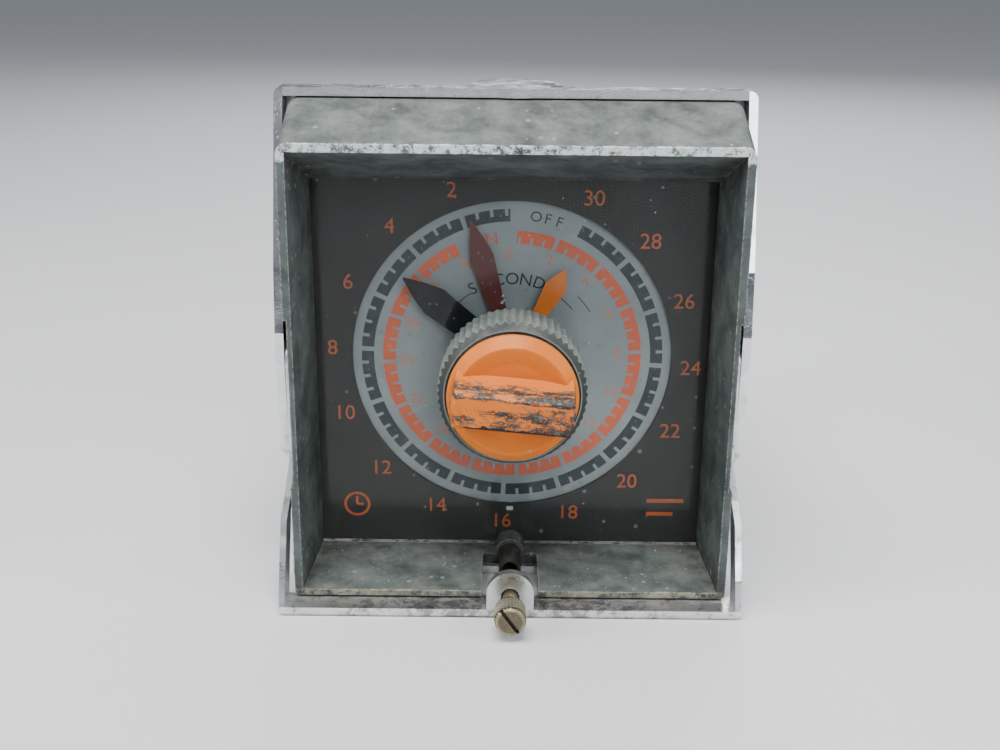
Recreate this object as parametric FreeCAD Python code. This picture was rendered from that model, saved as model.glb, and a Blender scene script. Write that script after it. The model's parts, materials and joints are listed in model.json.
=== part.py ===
"""Plug-in repeat cycle timer: hooded face module in a chromed surround, and the case it plugs into.

Frame: millimetres, +Z up, the face looks along -Y. The origin is under the middle of the whole
object, at the level of the surface it stands on. Depths are counted back from the hood's front rim.
"""
import FreeCAD, Part
import math
import os

V = FreeCAD.Vector

# ---------------------------------------------------------------- driving dimensions
RIM_Y = -50.5            # the hood's front rim plane
AXIS_Z = 51.5            # height of the knob and pointer axis
GAP = 0.3                # ordinary clearance between separate moving pieces
RUN = 0.06               # radial running clearance of shafts

SURROUND_W = 104.6       # chromed surround, outside width
SURROUND_H = 114.6       # chromed surround, outside height
SHEET = 1.9              # chromed sheet thickness
SURROUND_BACK = 26.0     # depth of the surround's back plane
RETURN_T = 1.4           # thickness of its inward return
CHEEK_STEP = 33.0        # height below which the cheeks are cut back for the bail

HOOD_W = 98.4
HOOD_BOTTOM = 2.5
LIP_TOP = 105.5          # top of the front lip
ROOF_TOP = 112.3         # height of the roof behind its slope
ROOF_DEPTH = 17.3        # depth where the roof's slope ends
HOOD_BACK = 24.5         # depth of the hood's back plane
POCKET_HALF = 46.7       # half width of the pocket behind the hood that holds the window
POCKET_HIGH = 96.6
NOTCH_HALF = 6.5         # half width of the sill notch for the thumbscrew
MOUTH_HALF = 47.4        # recess mouth, half width
MOUTH_LOW = 3.8
MOUTH_HIGH = 103.9
THROAT_HALF = 45.7       # recess at the window, half width
THROAT_LOW = 4.8
THROAT_HIGH = 94.5

WINDOW_DEPTH = 22.5
WINDOW_T = 1.5
MASK_DEPTH = 26.1
MASK_T = 1.0
DIAL_DEPTH = 27.2
DIAL_T = 0.8
DIAL_R = 37.6            # visible radius of the grey dial

RING_R = 16.5            # knurled ring knob
RING_FRONT = -0.7
RING_BACK = 12.6
TUBE_R = 7.5             # neck of the ring knob
SHAFT_R = 2.5            # inner shaft
BAR_KNOB_R = 14.35
BAR_FLOOR = -1.0         # depth of the bar knob's back face
BAR_RIM = -4.1           # depth of its rim
GRIP_FRONT = -11.5       # depth of the front of its grip bar
OFF_BLADE_DEPTH = 24.25  # front faces of the three pointer blades
ON_BLADE_DEPTH = 24.9
RUN_BLADE_DEPTH = 25.55
BLADE_SHEET = 0.4
RUN_TUBE_R = 4.0         # tube of the run pointer, round the inner shaft

PIVOT_Z = 56.5           # bail pivot height
PIVOT_DEPTH = 9.5
PIVOT_R = 1.5
ARM_T = 1.4              # bail strap thickness
ARM_HALF_IN = 50.2       # outer half width of the bail at its pivots
ARM_RELIEF_HALF = 48.5   # half width of the hood where the arms swing past it
BAIL_W = 104.6           # outer width of the bail at the bottom
BAR_FRONT = -5.0         # depth of the bail's front edge at the bottom
BAR_DEPTH = 7.0          # strap width of the bottom bar

SCREW_Z = 4.9            # thumbscrew axis height
SCREW_R = 1.75
HEAD_R = 3.45
HEAD_FRONT = -16.0
HEAD_BACK = -10.0
GROOVE_R = 1.35          # groove that the spring clip sits in
INSERT_R = 2.6
INSERT_FRONT = 8.0
INSERT_BACK = 21.0
BEZEL_SCREWS = [(x, z) for x in (-47.9, 47.9) for z in (20.0, 88.0)]

CASE_HALF = 43.5         # case shell, half width outside
CASE_LOW = 8.0
CASE_HIGH = 100.0
CASE_WALL = 2.0
VENTS = 6                # vent slits on each side of the case
VENT_LOW = 62.0
VENT_STEP = 5.5
VENT_HEIGHT = 2.2
FLANGE_DEPTH = 30.2
FLANGE_T = 2.0
FLANGE_HALF = 51.5
FLANGE_TOP = 112.2
SHELL_BACK = 106.0
FLANGE_HOLE_R = 1.9
FLANGE_HOLE_X = 47.5
FLANGE_HOLE_Z = (12.0, 96.0)
GASKET_T = 1.6
RAIL_HALF_IN = 37.8      # guide rails, half distance between them
RAIL_LOW = 48.6
RAIL_HIGH = 54.4

CHASSIS_HALF = 39.5      # chassis plates
CHASSIS_LOW = 12.0
CHASSIS_HIGH = 97.0
PLATE_T = 1.6
FRONT_PLATE_DEPTH = 30.5
BACK_PLATE_DEPTH = 66.0
CLUTCH_X = -17.0         # clutch coil axis
CLUTCH_Z = 29.0
ARMATURE_DEPTH = 46.6    # front of the clutch armature
COIL_FRONT = 51.0
COIL_BACK = 63.3
COIL_R = 9.6
CORE_R = 3.4
TRIP_DEPTH = 57.0        # depth of the trip arm and of the switch plungers
MOTOR_R = 17.0
MOTOR_FRONT = 76.0
MOTOR_BACK = 91.0
PLUG_DEPTH = 88.0
PLUG_T = 5.0
PLUG_HALF = 34.0
PLUG_LOW = 20.0
PLUG_HIGH = 46.0
SOCKET_DEPTH = 93.6

GEAR_MODULE = 0.6
WHEEL_TEETH = 72
PINION_TEETH = 16
BACKLASH = 0.12
WHEEL_DEPTH = 40.0
WHEEL_T = 2.4

TERMINAL_DEPTH = SHELL_BACK
TERMINAL_T = 5.0         # thickness of the terminal block
TERMINAL_Z = (16.5, 49.5)
FIXING_X = 34.5          # screws that hold the terminal block
FIXING_Z = (12.0, 54.0)
BLADE_X = [-25.0 + 10.0 * step for step in range(6)]
BLADE_Z = (28.0, 38.0)

# pointer angles at rest, clockwise from the top as seen from the front, in degrees
OFF_ANGLE = -52.0
ON_ANGLE = 29.0
RUN_ANGLE = -16.5
BAR_TILT = 5.0


# ---------------------------------------------------------------- helpers
def at(depth):
    return RIM_Y + depth


def block(x_low, x_high, depth_low, depth_high, z_low, z_high):
    size = (x_high - x_low, depth_high - depth_low, z_high - z_low)
    return Part.makeBox(size[0], size[1], size[2], V(x_low, at(depth_low), z_low))


def rod(radius, depth_low, depth_high, x=0.0, z=AXIS_Z):
    return Part.makeCylinder(radius, depth_high - depth_low, V(x, at(depth_low), z), V(0, 1, 0))


def pipe(outer, inner, depth_low, depth_high, x=0.0, z=AXIS_Z):
    wall = rod(outer, depth_low, depth_high, x, z)
    return wall.cut(rod(inner, depth_low - 1, depth_high + 1, x, z))


def side_plate(outline, x_low, x_high):
    """A plate across X from (depth, z) corners."""
    points = [V(x_low, at(depth), z) for depth, z in outline]
    wire = Part.makePolygon(points + points[:1])
    return Part.Face(wire).extrude(V(x_high - x_low, 0, 0))


def face_plate(outline, depth_low, depth_high):
    """A plate across Y from (x, z) corners."""
    points = [V(x, at(depth_low), z) for x, z in outline]
    wire = Part.makePolygon(points + points[:1])
    return Part.Face(wire).extrude(V(0, depth_high - depth_low, 0))


def turned(outline, x=0.0, z=AXIS_Z):
    """A body turned about a Y axis from (radius, depth) corners."""
    points = [V(x + radius, at(depth), z) for radius, depth in outline]
    wire = Part.makePolygon(points + points[:1])
    return Part.Face(wire).revolve(V(x, 0, z), V(0, 1, 0), 360)


def spun(shape, degrees, x=0.0, z=AXIS_Z):
    """The shape turned clockwise as seen from the front."""
    copy = shape.copy()
    copy.rotate(V(x, 0, z), V(0, 1, 0), degrees)
    return copy


def both_sides(shape):
    """The shape and its mirror image across the middle plane."""
    return Part.makeCompound([shape, shape.mirror(V(0, 0, 0), V(1, 0, 0))])


def rounded(shape, radius, chosen):
    """The shape with the edges for which chosen(centre, direction) holds filleted."""
    edges = []
    for edge in shape.Edges:
        if edge.Curve.TypeId != "Part::GeomLine":
            continue
        direction = edge.tangentAt(edge.FirstParameter)
        if chosen(edge.CenterOfMass, direction):
            edges.append(edge)
    return shape.makeFillet(radius, edges)


def save(name, shape):
    shape.exportStep("parts/" + name + ".step")


# ---------------------------------------------------------------- face
def hood_bezel():
    half = HOOD_W / 2
    outline = [(0, HOOD_BOTTOM), (0, LIP_TOP), (ROOF_DEPTH, ROOF_TOP)]
    outline += [(HOOD_BACK, ROOF_TOP), (HOOD_BACK, HOOD_BOTTOM)]
    body = side_plate(outline, -half, half)

    def roof_side(centre, direction):
        return abs(centre.x) > half - 0.1 and centre.z > LIP_TOP and abs(direction.z) < 0.9

    body = rounded(body, 2.2, roof_side)

    def bottom_side(centre, direction):
        return abs(centre.x) > half - 0.1 and centre.z < HOOD_BOTTOM + 0.1 and abs(direction.y) > 0.9

    body = rounded(body, 1.0, bottom_side)
    body = body.cut(recess())
    pocket_low = MOUTH_LOW + 0.2
    pocket = block(-POCKET_HALF, POCKET_HALF, WINDOW_DEPTH, HOOD_BACK + 1, pocket_low, POCKET_HIGH)
    body = body.cut(pocket)
    hollow = [(HOOD_BACK + 1, 98.4), (9.5, 104.2), (17.8, ROOF_TOP - 2), (HOOD_BACK + 1, ROOF_TOP - 2)]
    body = body.cut(side_plate(hollow, -46.5, 46.5))
    notch = block(-NOTCH_HALF, NOTCH_HALF, -1, ROOF_DEPTH, HOOD_BOTTOM - 1, 9.0)
    body = body.cut(notch)
    lug = rod(INSERT_R + 0.9, ROOF_DEPTH, WINDOW_DEPTH - 0.1, 0, SCREW_Z)
    lug = lug.common(block(-9, 9, 0, 40, HOOD_BOTTOM, 20))
    body = body.fuse(lug).cut(rod(INSERT_R, 0, INSERT_BACK, 0, SCREW_Z)).removeSplitter()
    relief = block(ARM_RELIEF_HALF, 60, -1, 14.5, 29.0, 68.0)
    body = body.cut(both_sides(relief))
    for x, z in BEZEL_SCREWS:
        body = body.cut(rod(0.95, 16, HOOD_BACK + 1, x, z))
    return body


def recess():
    """The flared space in front of the window."""
    front = [(-MOUTH_HALF, MOUTH_LOW), (MOUTH_HALF, MOUTH_LOW)]
    front += [(MOUTH_HALF, MOUTH_HIGH), (-MOUTH_HALF, MOUTH_HIGH)]
    back = [(-THROAT_HALF, THROAT_LOW), (THROAT_HALF, THROAT_LOW)]
    back += [(THROAT_HALF, THROAT_HIGH), (-THROAT_HALF, THROAT_HIGH)]
    wires = []
    for corners, depth in ((front, -0.01), (back, WINDOW_DEPTH + 0.01)):
        points = [V(x, at(depth), z) for x, z in corners]
        wires.append(Part.makePolygon(points + points[:1]))
    return Part.makeLoft(wires, True, True)


def trim_frame():
    """Chromed surround: side cheeks, top and bottom strips, back return and top tongue."""
    half = SURROUND_W / 2
    nose_low = (8.6, CHEEK_STEP + 2)
    outline = [(20.1, SURROUND_H), (9.1, 77.2), (6.9, 63.0), (6.7, 56.0), (7.3, 48.0)]
    outline += [nose_low, (11.0, CHEEK_STEP), (15.6, CHEEK_STEP - 3), (16.0, 0.0)]
    outline += [(SURROUND_BACK, 0.0), (SURROUND_BACK, SURROUND_H)]
    frame = side_plate(outline, half - SHEET, half)
    frame = frame.cut(pivot_hole(1))
    frame = frame.fuse(frame.mirror(V(0, 0, 0), V(1, 0, 0)))
    top = block(-half, half, 20.1, SURROUND_BACK, SURROUND_H - SHEET, SURROUND_H)
    bottom = block(-half, half, 16.0, SURROUND_BACK, 0, SHEET)
    inner = half - SHEET
    back = block(-inner, inner, SURROUND_BACK - RETURN_T, SURROUND_BACK, SHEET, SURROUND_H - SHEET)
    back = back.cut(block(-POCKET_HALF, POCKET_HALF, 0, 40, MOUTH_LOW + 0.2, POCKET_HIGH))
    frame = frame.fuse([top, bottom, back, tongue()]).removeSplitter()

    def outer_corner(centre, direction):
        return abs(centre.x) > half - 0.1 and centre.z > SURROUND_H - 0.1 and abs(direction.y) > 0.9

    frame = rounded(frame, 1.6, outer_corner)
    for x, z in BEZEL_SCREWS:
        frame = frame.cut(rod(1.0, 20, 40, x, z))
    return frame


def tongue():
    radius = 10.35
    straight = block(-radius, radius, SURROUND_BACK - 1, 29.6, SURROUND_H - SHEET, SURROUND_H)
    end = Part.makeCylinder(radius, SHEET, V(0, at(29.6), SURROUND_H - SHEET))
    return straight.fuse(end)


def pivot_hole(side):
    start = V(side * 46.5, at(PIVOT_DEPTH), PIVOT_Z)
    return Part.makeCylinder(PIVOT_R, 8, start, V(side, 0, 0))


def bezel_screws():
    screws = []
    seat = MASK_DEPTH + MASK_T
    for x, z in BEZEL_SCREWS:
        screw = rod(0.9, 17, seat, x, z)
        head = rod(1.7, seat, seat + 1.0, x, z)
        slot = block(x - 2, x + 2, seat + 0.6, seat + 2, z - 0.25, z + 0.25)
        screws.append(screw.fuse(head).cut(slot))
    return Part.makeCompound(screws)


def window_pane():
    pane = block(-46.5, 46.5, WINDOW_DEPTH, WINDOW_DEPTH + WINDOW_T, 4.1, 96.4)
    return pane.cut(rod(TUBE_R + GAP, 20, 26))


def mask_plate():
    mask = block(-49.0, 49.0, MASK_DEPTH, MASK_DEPTH + MASK_T, 3.6, 97.6)
    mask = mask.cut(rod(DIAL_R, 20, 40))
    for x, z in BEZEL_SCREWS:
        mask = mask.cut(rod(1.0, 20, 40, x, z))
    return mask


def dial_plate():
    return pipe(40.0, 4.8, DIAL_DEPTH, DIAL_DEPTH + DIAL_T)


def thumbscrew_insert():
    insert = rod(INSERT_R, INSERT_FRONT, INSERT_BACK, 0, SCREW_Z)
    insert = insert.cut(rod(SCREW_R + 0.1, 7, 17, 0, SCREW_Z))
    mouth = V(0, at(INSERT_FRONT), SCREW_Z)
    rim = Part.makeCone(SCREW_R + 0.6, SCREW_R + 0.1, 0.5, mouth, V(0, 1, 0))
    return insert.cut(rim)


# ---------------------------------------------------------------- bail
def bail():
    """Strap bent to a U: two arms from the pivots, a bottom bar and a screw ear."""
    arm = bail_arm()
    arms = arm.fuse(arm.mirror(V(0, 0, 0), V(1, 0, 0)))
    half = BAIL_W / 2
    bar = block(-half, half, BAR_FRONT, BAR_FRONT + BAR_DEPTH, 0, SHEET)
    body = arms.fuse([bar, screw_ear()]).removeSplitter()

    def bottom_corner(centre, direction):
        return abs(centre.x) > half - 0.1 and centre.z < 0.1 and abs(direction.y) > 0.9

    return rounded(body, 1.5, bottom_corner)


def bail_arm():
    """Side view of the strap, cut from a bent band that joggles outwards below the pivots."""
    low = [(BAR_FRONT, 0), (BAR_FRONT, 2.0), (-2.7, 8.5), (1.2, 16.5), (4.6, 25.0), (6.4, 34.0)]
    low += [(6.9, 46.0), (6.6, 52.0), (6.6, PIVOT_Z), (12.4, PIVOT_Z), (12.4, 46.0)]
    low += [(12.6, 34.0), (11.0, 25.0), (7.8, 16.5), (4.2, 8.5), (BAR_FRONT + BAR_DEPTH, 2.0)]
    low += [(BAR_FRONT + BAR_DEPTH, 0)]
    strap = side_plate(low, ARM_HALF_IN - 4, BAIL_W / 2 + 1)
    eye = Part.makeCylinder(2.9, 8, V(ARM_HALF_IN - 4, at(PIVOT_DEPTH), PIVOT_Z), V(1, 0, 0))
    strap = strap.fuse(eye)
    inner = ARM_HALF_IN
    outer = BAIL_W / 2
    band = [(inner - ARM_T, 62), (inner, 62), (inner, 33.6), (outer, 20.0), (outer, 0)]
    band += [(outer - ARM_T, 0), (outer - ARM_T, 19.7), (inner - ARM_T, 33.3)]
    strap = strap.common(face_plate(band, -20, 40))
    return strap.cut(pivot_hole(1))


def screw_ear():
    radius = 5.3
    crown = 5.8
    ear = block(-radius, radius, BAR_FRONT, BAR_FRONT + SHEET, 0, crown)
    ear = ear.fuse(rod(radius, BAR_FRONT, BAR_FRONT + SHEET, 0, crown))
    return ear.cut(rod(2.1, -10, 5, 0, SCREW_Z + 0.25))


def bail_rivets():
    """Flush rivets through cheek and arm, one on each side."""
    start = V(ARM_RELIEF_HALF + 0.05, at(PIVOT_DEPTH), PIVOT_Z)
    length = SURROUND_W / 2 - start.x
    return both_sides(Part.makeCylinder(PIVOT_R - RUN, length, start, V(1, 0, 0)))


def thumbscrew():
    """Brass screw with a slotted, knurled head in front of the ear."""
    ridges = 28
    outline = []
    for step in range(2 * ridges):
        angle = math.pi * step / ridges
        radius = HEAD_R if step % 2 == 0 else HEAD_R - 0.28
        outline.append((radius * math.sin(angle), SCREW_Z + radius * math.cos(angle)))
    head = face_plate(outline, HEAD_FRONT, HEAD_BACK)
    barrel = [(0, HEAD_FRONT), (HEAD_R - 0.5, HEAD_FRONT), (HEAD_R, HEAD_FRONT + 0.5)]
    barrel += [(HEAD_R, HEAD_BACK - 0.5), (HEAD_R - 0.5, HEAD_BACK), (0, HEAD_BACK)]
    head = head.common(turned(barrel, 0, SCREW_Z))
    slot = block(-4, 4, HEAD_FRONT - 1, HEAD_FRONT + 1.6, SCREW_Z - 0.45, SCREW_Z + 0.45)
    head = head.cut(spun(slot, 55, 0, SCREW_Z))
    shank = [(0, HEAD_BACK), (SCREW_R, HEAD_BACK), (SCREW_R, -2.5), (GROOVE_R, -2.5)]
    shank += [(GROOVE_R, -1.6), (SCREW_R, -1.6), (SCREW_R, 5.6), (1.2, 6.2), (0, 6.2)]
    return head.fuse(turned(shank, 0, SCREW_Z))


def screw_clip():
    """Spring clip in the screw's groove, which keeps it in the ear."""
    clip = pipe(2.8, GROOVE_R + 0.05, -2.4, -1.7, 0, SCREW_Z)
    return clip.cut(block(-0.9, 0.9, -3, 0, SCREW_Z - 4, SCREW_Z))


# ---------------------------------------------------------------- knobs, shafts and pointers
def off_knob():
    """Ring knob with a knurled rim."""
    ridges = 56
    outline = []
    for step in range(2 * ridges):
        angle = math.pi * step / ridges
        radius = RING_R if step % 2 == 0 else RING_R - 0.55
        outline.append((radius * math.sin(angle), AXIS_Z + radius * math.cos(angle)))
    knob = face_plate(outline, RING_FRONT, RING_BACK)
    barrel = [(SHAFT_R + RUN, RING_FRONT + 1.2), (14.6, RING_FRONT + 1.2), (14.8, RING_FRONT)]
    barrel += [(RING_R - 1.4, RING_FRONT), (RING_R, RING_FRONT + 2.2), (RING_R, RING_BACK - 0.8)]
    barrel += [(RING_R - 0.9, RING_BACK), (SHAFT_R + RUN, RING_BACK)]
    return knob.common(turned(barrel))


def off_tube():
    return pipe(TUBE_R, SHAFT_R + RUN, RING_BACK, OFF_BLADE_DEPTH + BLADE_SHEET)


def lance(tip_r, wide_r, wide, base_r, base, hub_r, depth):
    """Pointer along +Z from the axis: long tip, shoulder, narrower root and round hub."""
    side = [(0.15, tip_r), (wide * 0.32, tip_r - (tip_r - wide_r) * 0.55), (wide / 2, wide_r)]
    side += [(base / 2, base_r), (base / 2, 4.0)]
    outline = side + [(-x, r) for x, r in reversed(side)]
    blade = face_plate([(x, AXIS_Z + r) for x, r in outline], depth, depth + BLADE_SHEET)
    return blade.fuse(rod(hub_r, depth, depth + BLADE_SHEET)).removeSplitter()


def off_pointer():
    pointer = lance(32.2, 23.0, 7.3, 13.0, 6.2, 9.5, OFF_BLADE_DEPTH)
    return spun(pointer.cut(rod(TUBE_R, 20, 30)), OFF_ANGLE)


def on_pointer():
    pointer = lance(25.0, 20.2, 5.1, 14.0, 3.6, 7.0, ON_BLADE_DEPTH)
    return spun(pointer.cut(rod(SHAFT_R, 20, 30)), ON_ANGLE)


def run_pointer():
    pointer = lance(34.4, 25.5, 5.6, 15.0, 4.2, 7.0, RUN_BLADE_DEPTH)
    return spun(pointer.cut(rod(SHAFT_R + RUN, 20, 30)), RUN_ANGLE)


def on_knob():
    """Bar knob: chamfered disc with a dished face and a full-width grip bar."""
    chamfered = BAR_KNOB_R - 2.1
    disc = [(0, BAR_FLOOR), (BAR_KNOB_R, BAR_FLOOR), (BAR_KNOB_R, BAR_FLOOR - 0.7)]
    disc += [(chamfered, BAR_RIM), (chamfered - 0.5, BAR_RIM), (8.5, BAR_RIM + 0.6)]
    disc += [(0, BAR_RIM + 0.9)]
    root = BAR_FLOOR - 1.5
    corner = GRIP_FRONT + 0.9
    grip = [(root, AXIS_Z - 6.4), (BAR_RIM, AXIS_Z - 5.6), (corner, AXIS_Z - 4.3)]
    grip += [(GRIP_FRONT, AXIS_Z - 3.6), (GRIP_FRONT, AXIS_Z + 3.0), (corner, AXIS_Z + 3.9)]
    grip += [(BAR_RIM, AXIS_Z + 5.0), (root, AXIS_Z + 6.0)]
    bar = side_plate(grip, -16, 16)
    limit = [(0, 0), (14.1, 0), (13.6, BAR_RIM), (13.2, GRIP_FRONT + 1.0), (12.5, GRIP_FRONT)]
    bar = bar.common(turned(limit + [(0, GRIP_FRONT)]))
    body = turned(disc).fuse(bar).removeSplitter()
    body = body.cut(rod(SHAFT_R, -8.0, 1.0))
    return spun(body, BAR_TILT)


def on_shaft():
    shaft = [(0, -8.0), (SHAFT_R, -8.0), (SHAFT_R, 68.6), (SHAFT_R - 0.5, 69.1), (0, 69.1)]
    return turned(shaft)


def trip_arm():
    """Two-ended arm on the shaft, level with the switch plungers."""
    outline = [(-3, AXIS_Z), (-1.6, AXIS_Z + 16), (1.6, AXIS_Z + 16), (3, AXIS_Z)]
    arm = face_plate(outline, TRIP_DEPTH - 0.8, TRIP_DEPTH + 0.8)
    body = arm.fuse(rod(6.0, TRIP_DEPTH - 3, TRIP_DEPTH + 3)).cut(rod(SHAFT_R, 50, 65))
    return spun(body.removeSplitter(), ON_ANGLE)


def run_tube():
    return pipe(RUN_TUBE_R, SHAFT_R + RUN, RUN_BLADE_DEPTH + BLADE_SHEET + 0.05, 45.0)


def involute_points(base, radius):
    spread = math.sqrt(max((radius / base) ** 2 - 1, 0.0))
    return spread - math.atan(spread)


def gear(teeth, depth_low, depth_high, bore, x, z, turn):
    """Spur gear with involute flanks, thinned by the backlash."""
    pitch = GEAR_MODULE * teeth / 2
    base = pitch * math.cos(math.radians(20))
    tip = pitch + 0.9 * GEAR_MODULE
    root = pitch - 1.2 * GEAR_MODULE
    half_pitch = math.pi / (2 * teeth) - BACKLASH / (2 * pitch) + involute_points(base, pitch)
    flank = []
    start = max(base, root)
    for step in range(5):
        radius = start + (tip - start) * step / 4
        flank.append((radius, half_pitch - involute_points(base, radius)))
    corners = []
    for tooth in range(teeth):
        middle = 2 * math.pi * tooth / teeth + turn
        corners.append((root, middle - flank[0][1]))
        for radius, angle in flank:
            corners.append((radius, middle - angle))
        for radius, angle in reversed(flank):
            corners.append((radius, middle + angle))
        corners.append((root, middle + flank[0][1]))
    outline = [(x + r * math.sin(a), z + r * math.cos(a)) for r, a in without_repeats(corners)]
    blank = face_plate(outline, depth_low, depth_high)
    return blank.cut(rod(bore, depth_low - 1, depth_high + 1, x, z))


def without_repeats(corners):
    kept = []
    for corner in corners:
        if not kept or math.dist(corner, kept[-1]) > 1e-6:
            kept.append(corner)
    return kept


def run_wheel():
    """Progress wheel with lightening holes, fixed on the run tube."""
    wheel = gear(WHEEL_TEETH, WHEEL_DEPTH, WHEEL_DEPTH + WHEEL_T, RUN_TUBE_R, 0, AXIS_Z, 0.0)
    for step in range(5):
        angle = math.radians(36 + 72 * step)
        hole = rod(4.0, 39, 44, 12.5 * math.sin(angle), AXIS_Z + 12.5 * math.cos(angle))
        wheel = wheel.cut(hole)
    return wheel


def pinion_height():
    return AXIS_Z + GEAR_MODULE * (WHEEL_TEETH + PINION_TEETH) / 2 + 0.08


def drive_pinion():
    """Pinion on the gearbox output shaft, half a tooth out of step so that it meshes."""
    z = pinion_height()
    teeth = gear(PINION_TEETH, WHEEL_DEPTH - 0.4, WHEEL_DEPTH + WHEEL_T + 0.4, 1.5, 0, z,
                 math.pi / PINION_TEETH)
    shaft = rod(1.5, WHEEL_DEPTH - 2, 72.0, 0, z)
    return teeth.fuse(shaft)


def reset_spring():
    """Flat spiral of half turns that returns the run pointer."""
    start = 5.6
    growth = 0.9
    thick = 0.3
    halves = 12
    outer = []
    inner = []
    for step in range(halves):
        side = 1 if step % 2 == 0 else -1
        middle = 0.0 if step % 2 == 0 else growth / 2
        radius = start + growth * step / 2
        outer.append(half_ring(middle, radius + thick, side))
        inner.append(half_ring(middle, radius, side))
    bands = []
    for big, small in zip(outer, inner):
        ends = [Part.makeLine(big[1], small[1]), Part.makeLine(small[0], big[0])]
        wire = Part.Wire([big[2].toShape(), ends[0], small[2].toShape(), ends[1]])
        bands.append(Part.Face(wire).extrude(V(0, 2.0, 0)))
    spring = bands[0].fuse(bands[1:])
    return spring.removeSplitter()


def half_ring(middle, radius, side):
    """A half circle in the XZ plane, above the axis for side 1 and below for -1."""
    y = at(35.0)
    first = V(middle - radius * side, y, AXIS_Z)
    last = V(middle + radius * side, y, AXIS_Z)
    crown = V(middle, y, AXIS_Z + radius * side)
    return first, last, Part.Arc(first, crown, last)


# ---------------------------------------------------------------- chassis
def chassis_plate(depth):
    plate = block(-CHASSIS_HALF, CHASSIS_HALF, depth, depth + PLATE_T, CHASSIS_LOW, CHASSIS_HIGH)
    notch = block(RAIL_HALF_IN - 0.5, 50, depth - 1, depth + 3, RAIL_LOW - 1, RAIL_HIGH + 1)
    plate = plate.cut(notch).cut(notch.mirror(V(0, 0, 0), V(1, 0, 0)))
    for x, z in post_places():
        plate = plate.cut(rod(1.6, depth - 1, depth + 3, x, z))
    return plate


def post_places():
    return [(x, z) for x in (-33.0, 33.0) for z in (20.0, 88.0)]


def front_plate():
    plate = chassis_plate(FRONT_PLATE_DEPTH)
    return plate.cut(rod(6.0, 25, 35))


def back_plate():
    plate = chassis_plate(BACK_PLATE_DEPTH)
    plate = plate.cut(rod(SHAFT_R + RUN, 60, 70))
    plate = plate.cut(rod(2.4, 60, 70, 0, pinion_height()))
    return plate


def tube_bush():
    bush = [(RUN_TUBE_R + RUN, 29.4), (8.0, 29.4), (8.0, FRONT_PLATE_DEPTH), (6.0, FRONT_PLATE_DEPTH)]
    bush += [(6.0, 33.6), (RUN_TUBE_R + RUN, 33.6)]
    return turned(bush)


def face_posts():
    posts = []
    for x in (-37.0, 37.0):
        for z in (15.5, 93.0):
            posts.append(rod(2.2, MASK_DEPTH + MASK_T, FRONT_PLATE_DEPTH, x, z))
    return Part.makeCompound(posts)


def chassis_posts():
    posts = []
    for x, z in post_places():
        body = rod(3.0, FRONT_PLATE_DEPTH + PLATE_T, BACK_PLATE_DEPTH, x, z)
        front = rod(1.6, FRONT_PLATE_DEPTH, FRONT_PLATE_DEPTH + PLATE_T, x, z)
        body = body.fuse(front).cut(rod(1.25, 58, 70, x, z))
        posts.append(body)
    return Part.makeCompound(posts)


def post_screws():
    screws = []
    for x, z in post_places():
        shank = rod(1.25, 60, BACK_PLATE_DEPTH + PLATE_T, x, z)
        head = rod(2.8, BACK_PLATE_DEPTH + PLATE_T, BACK_PLATE_DEPTH + PLATE_T + 1.8, x, z)
        slot = block(x - 3, x + 3, BACK_PLATE_DEPTH + PLATE_T + 0.9, 72, z - 0.35, z + 0.35)
        screws.append(shank.fuse(head).cut(slot))
    return Part.makeCompound(screws)


def gearbox():
    z = pinion_height()
    front = BACK_PLATE_DEPTH + PLATE_T
    body = block(-16, 16, front, MOTOR_FRONT, z - 16, z + 16)

    def long_edge(centre, direction):
        return abs(direction.y) > 0.9

    body = rounded(body, 3.0, long_edge)
    return body.cut(rod(1.5 + RUN, 60, 73, 0, z))


def drive_motor():
    z = pinion_height()
    can = [(0, MOTOR_FRONT), (MOTOR_R, MOTOR_FRONT), (MOTOR_R, MOTOR_BACK - 1)]
    can += [(MOTOR_R - 1, MOTOR_BACK), (0, MOTOR_BACK)]
    return turned(can, 0, z).fuse(rod(4.0, MOTOR_BACK, MOTOR_BACK + 1.5, 0, z))


def clutch_yoke():
    """U frame round the coil, closed by the armature in front."""
    x = CLUTCH_X
    z = CLUTCH_Z
    back = block(x - 11, x + 11, 63.4, BACK_PLATE_DEPTH, z - 13.5, z + 10.5)
    foot = block(x - 11, x + 11, 50.6, 64, z - 13.5, z - 11.5)
    core = rod(CORE_R, COIL_FRONT - 1, 64, x, z)
    return back.fuse([foot, core]).removeSplitter()


def clutch_coil():
    bore = CORE_R + 0.05
    flange = COIL_R + 0.8
    front = pipe(flange, bore, COIL_FRONT, COIL_FRONT + 1, CLUTCH_X, CLUTCH_Z)
    winding = pipe(COIL_R, bore, COIL_FRONT + 1, COIL_BACK - 1.3, CLUTCH_X, CLUTCH_Z)
    rear = pipe(flange, bore, COIL_BACK - 1.3, COIL_BACK, CLUTCH_X, CLUTCH_Z)
    return front.fuse([winding, rear])


def hinge_rod(radius, length):
    """A rod across the clutch on the armature's hinge axis."""
    start = V(CLUTCH_X - length / 2, at(ARMATURE_DEPTH + 0.8), CLUTCH_Z - 12.3)
    return Part.makeCylinder(radius, length, start, V(1, 0, 0))


def clutch_armature():
    """Plate in front of the coil, rocking about its lower edge."""
    x = CLUTCH_X
    low = CLUTCH_Z - 12.3
    back = ARMATURE_DEPTH + 1.6
    plate = block(x - 10, x + 10, ARMATURE_DEPTH, back, low, CLUTCH_Z + 8.5)
    plate = plate.fuse(hinge_rod(1.5, 20))
    return plate.cut(hinge_rod(0.75 + RUN, 30))


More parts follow.
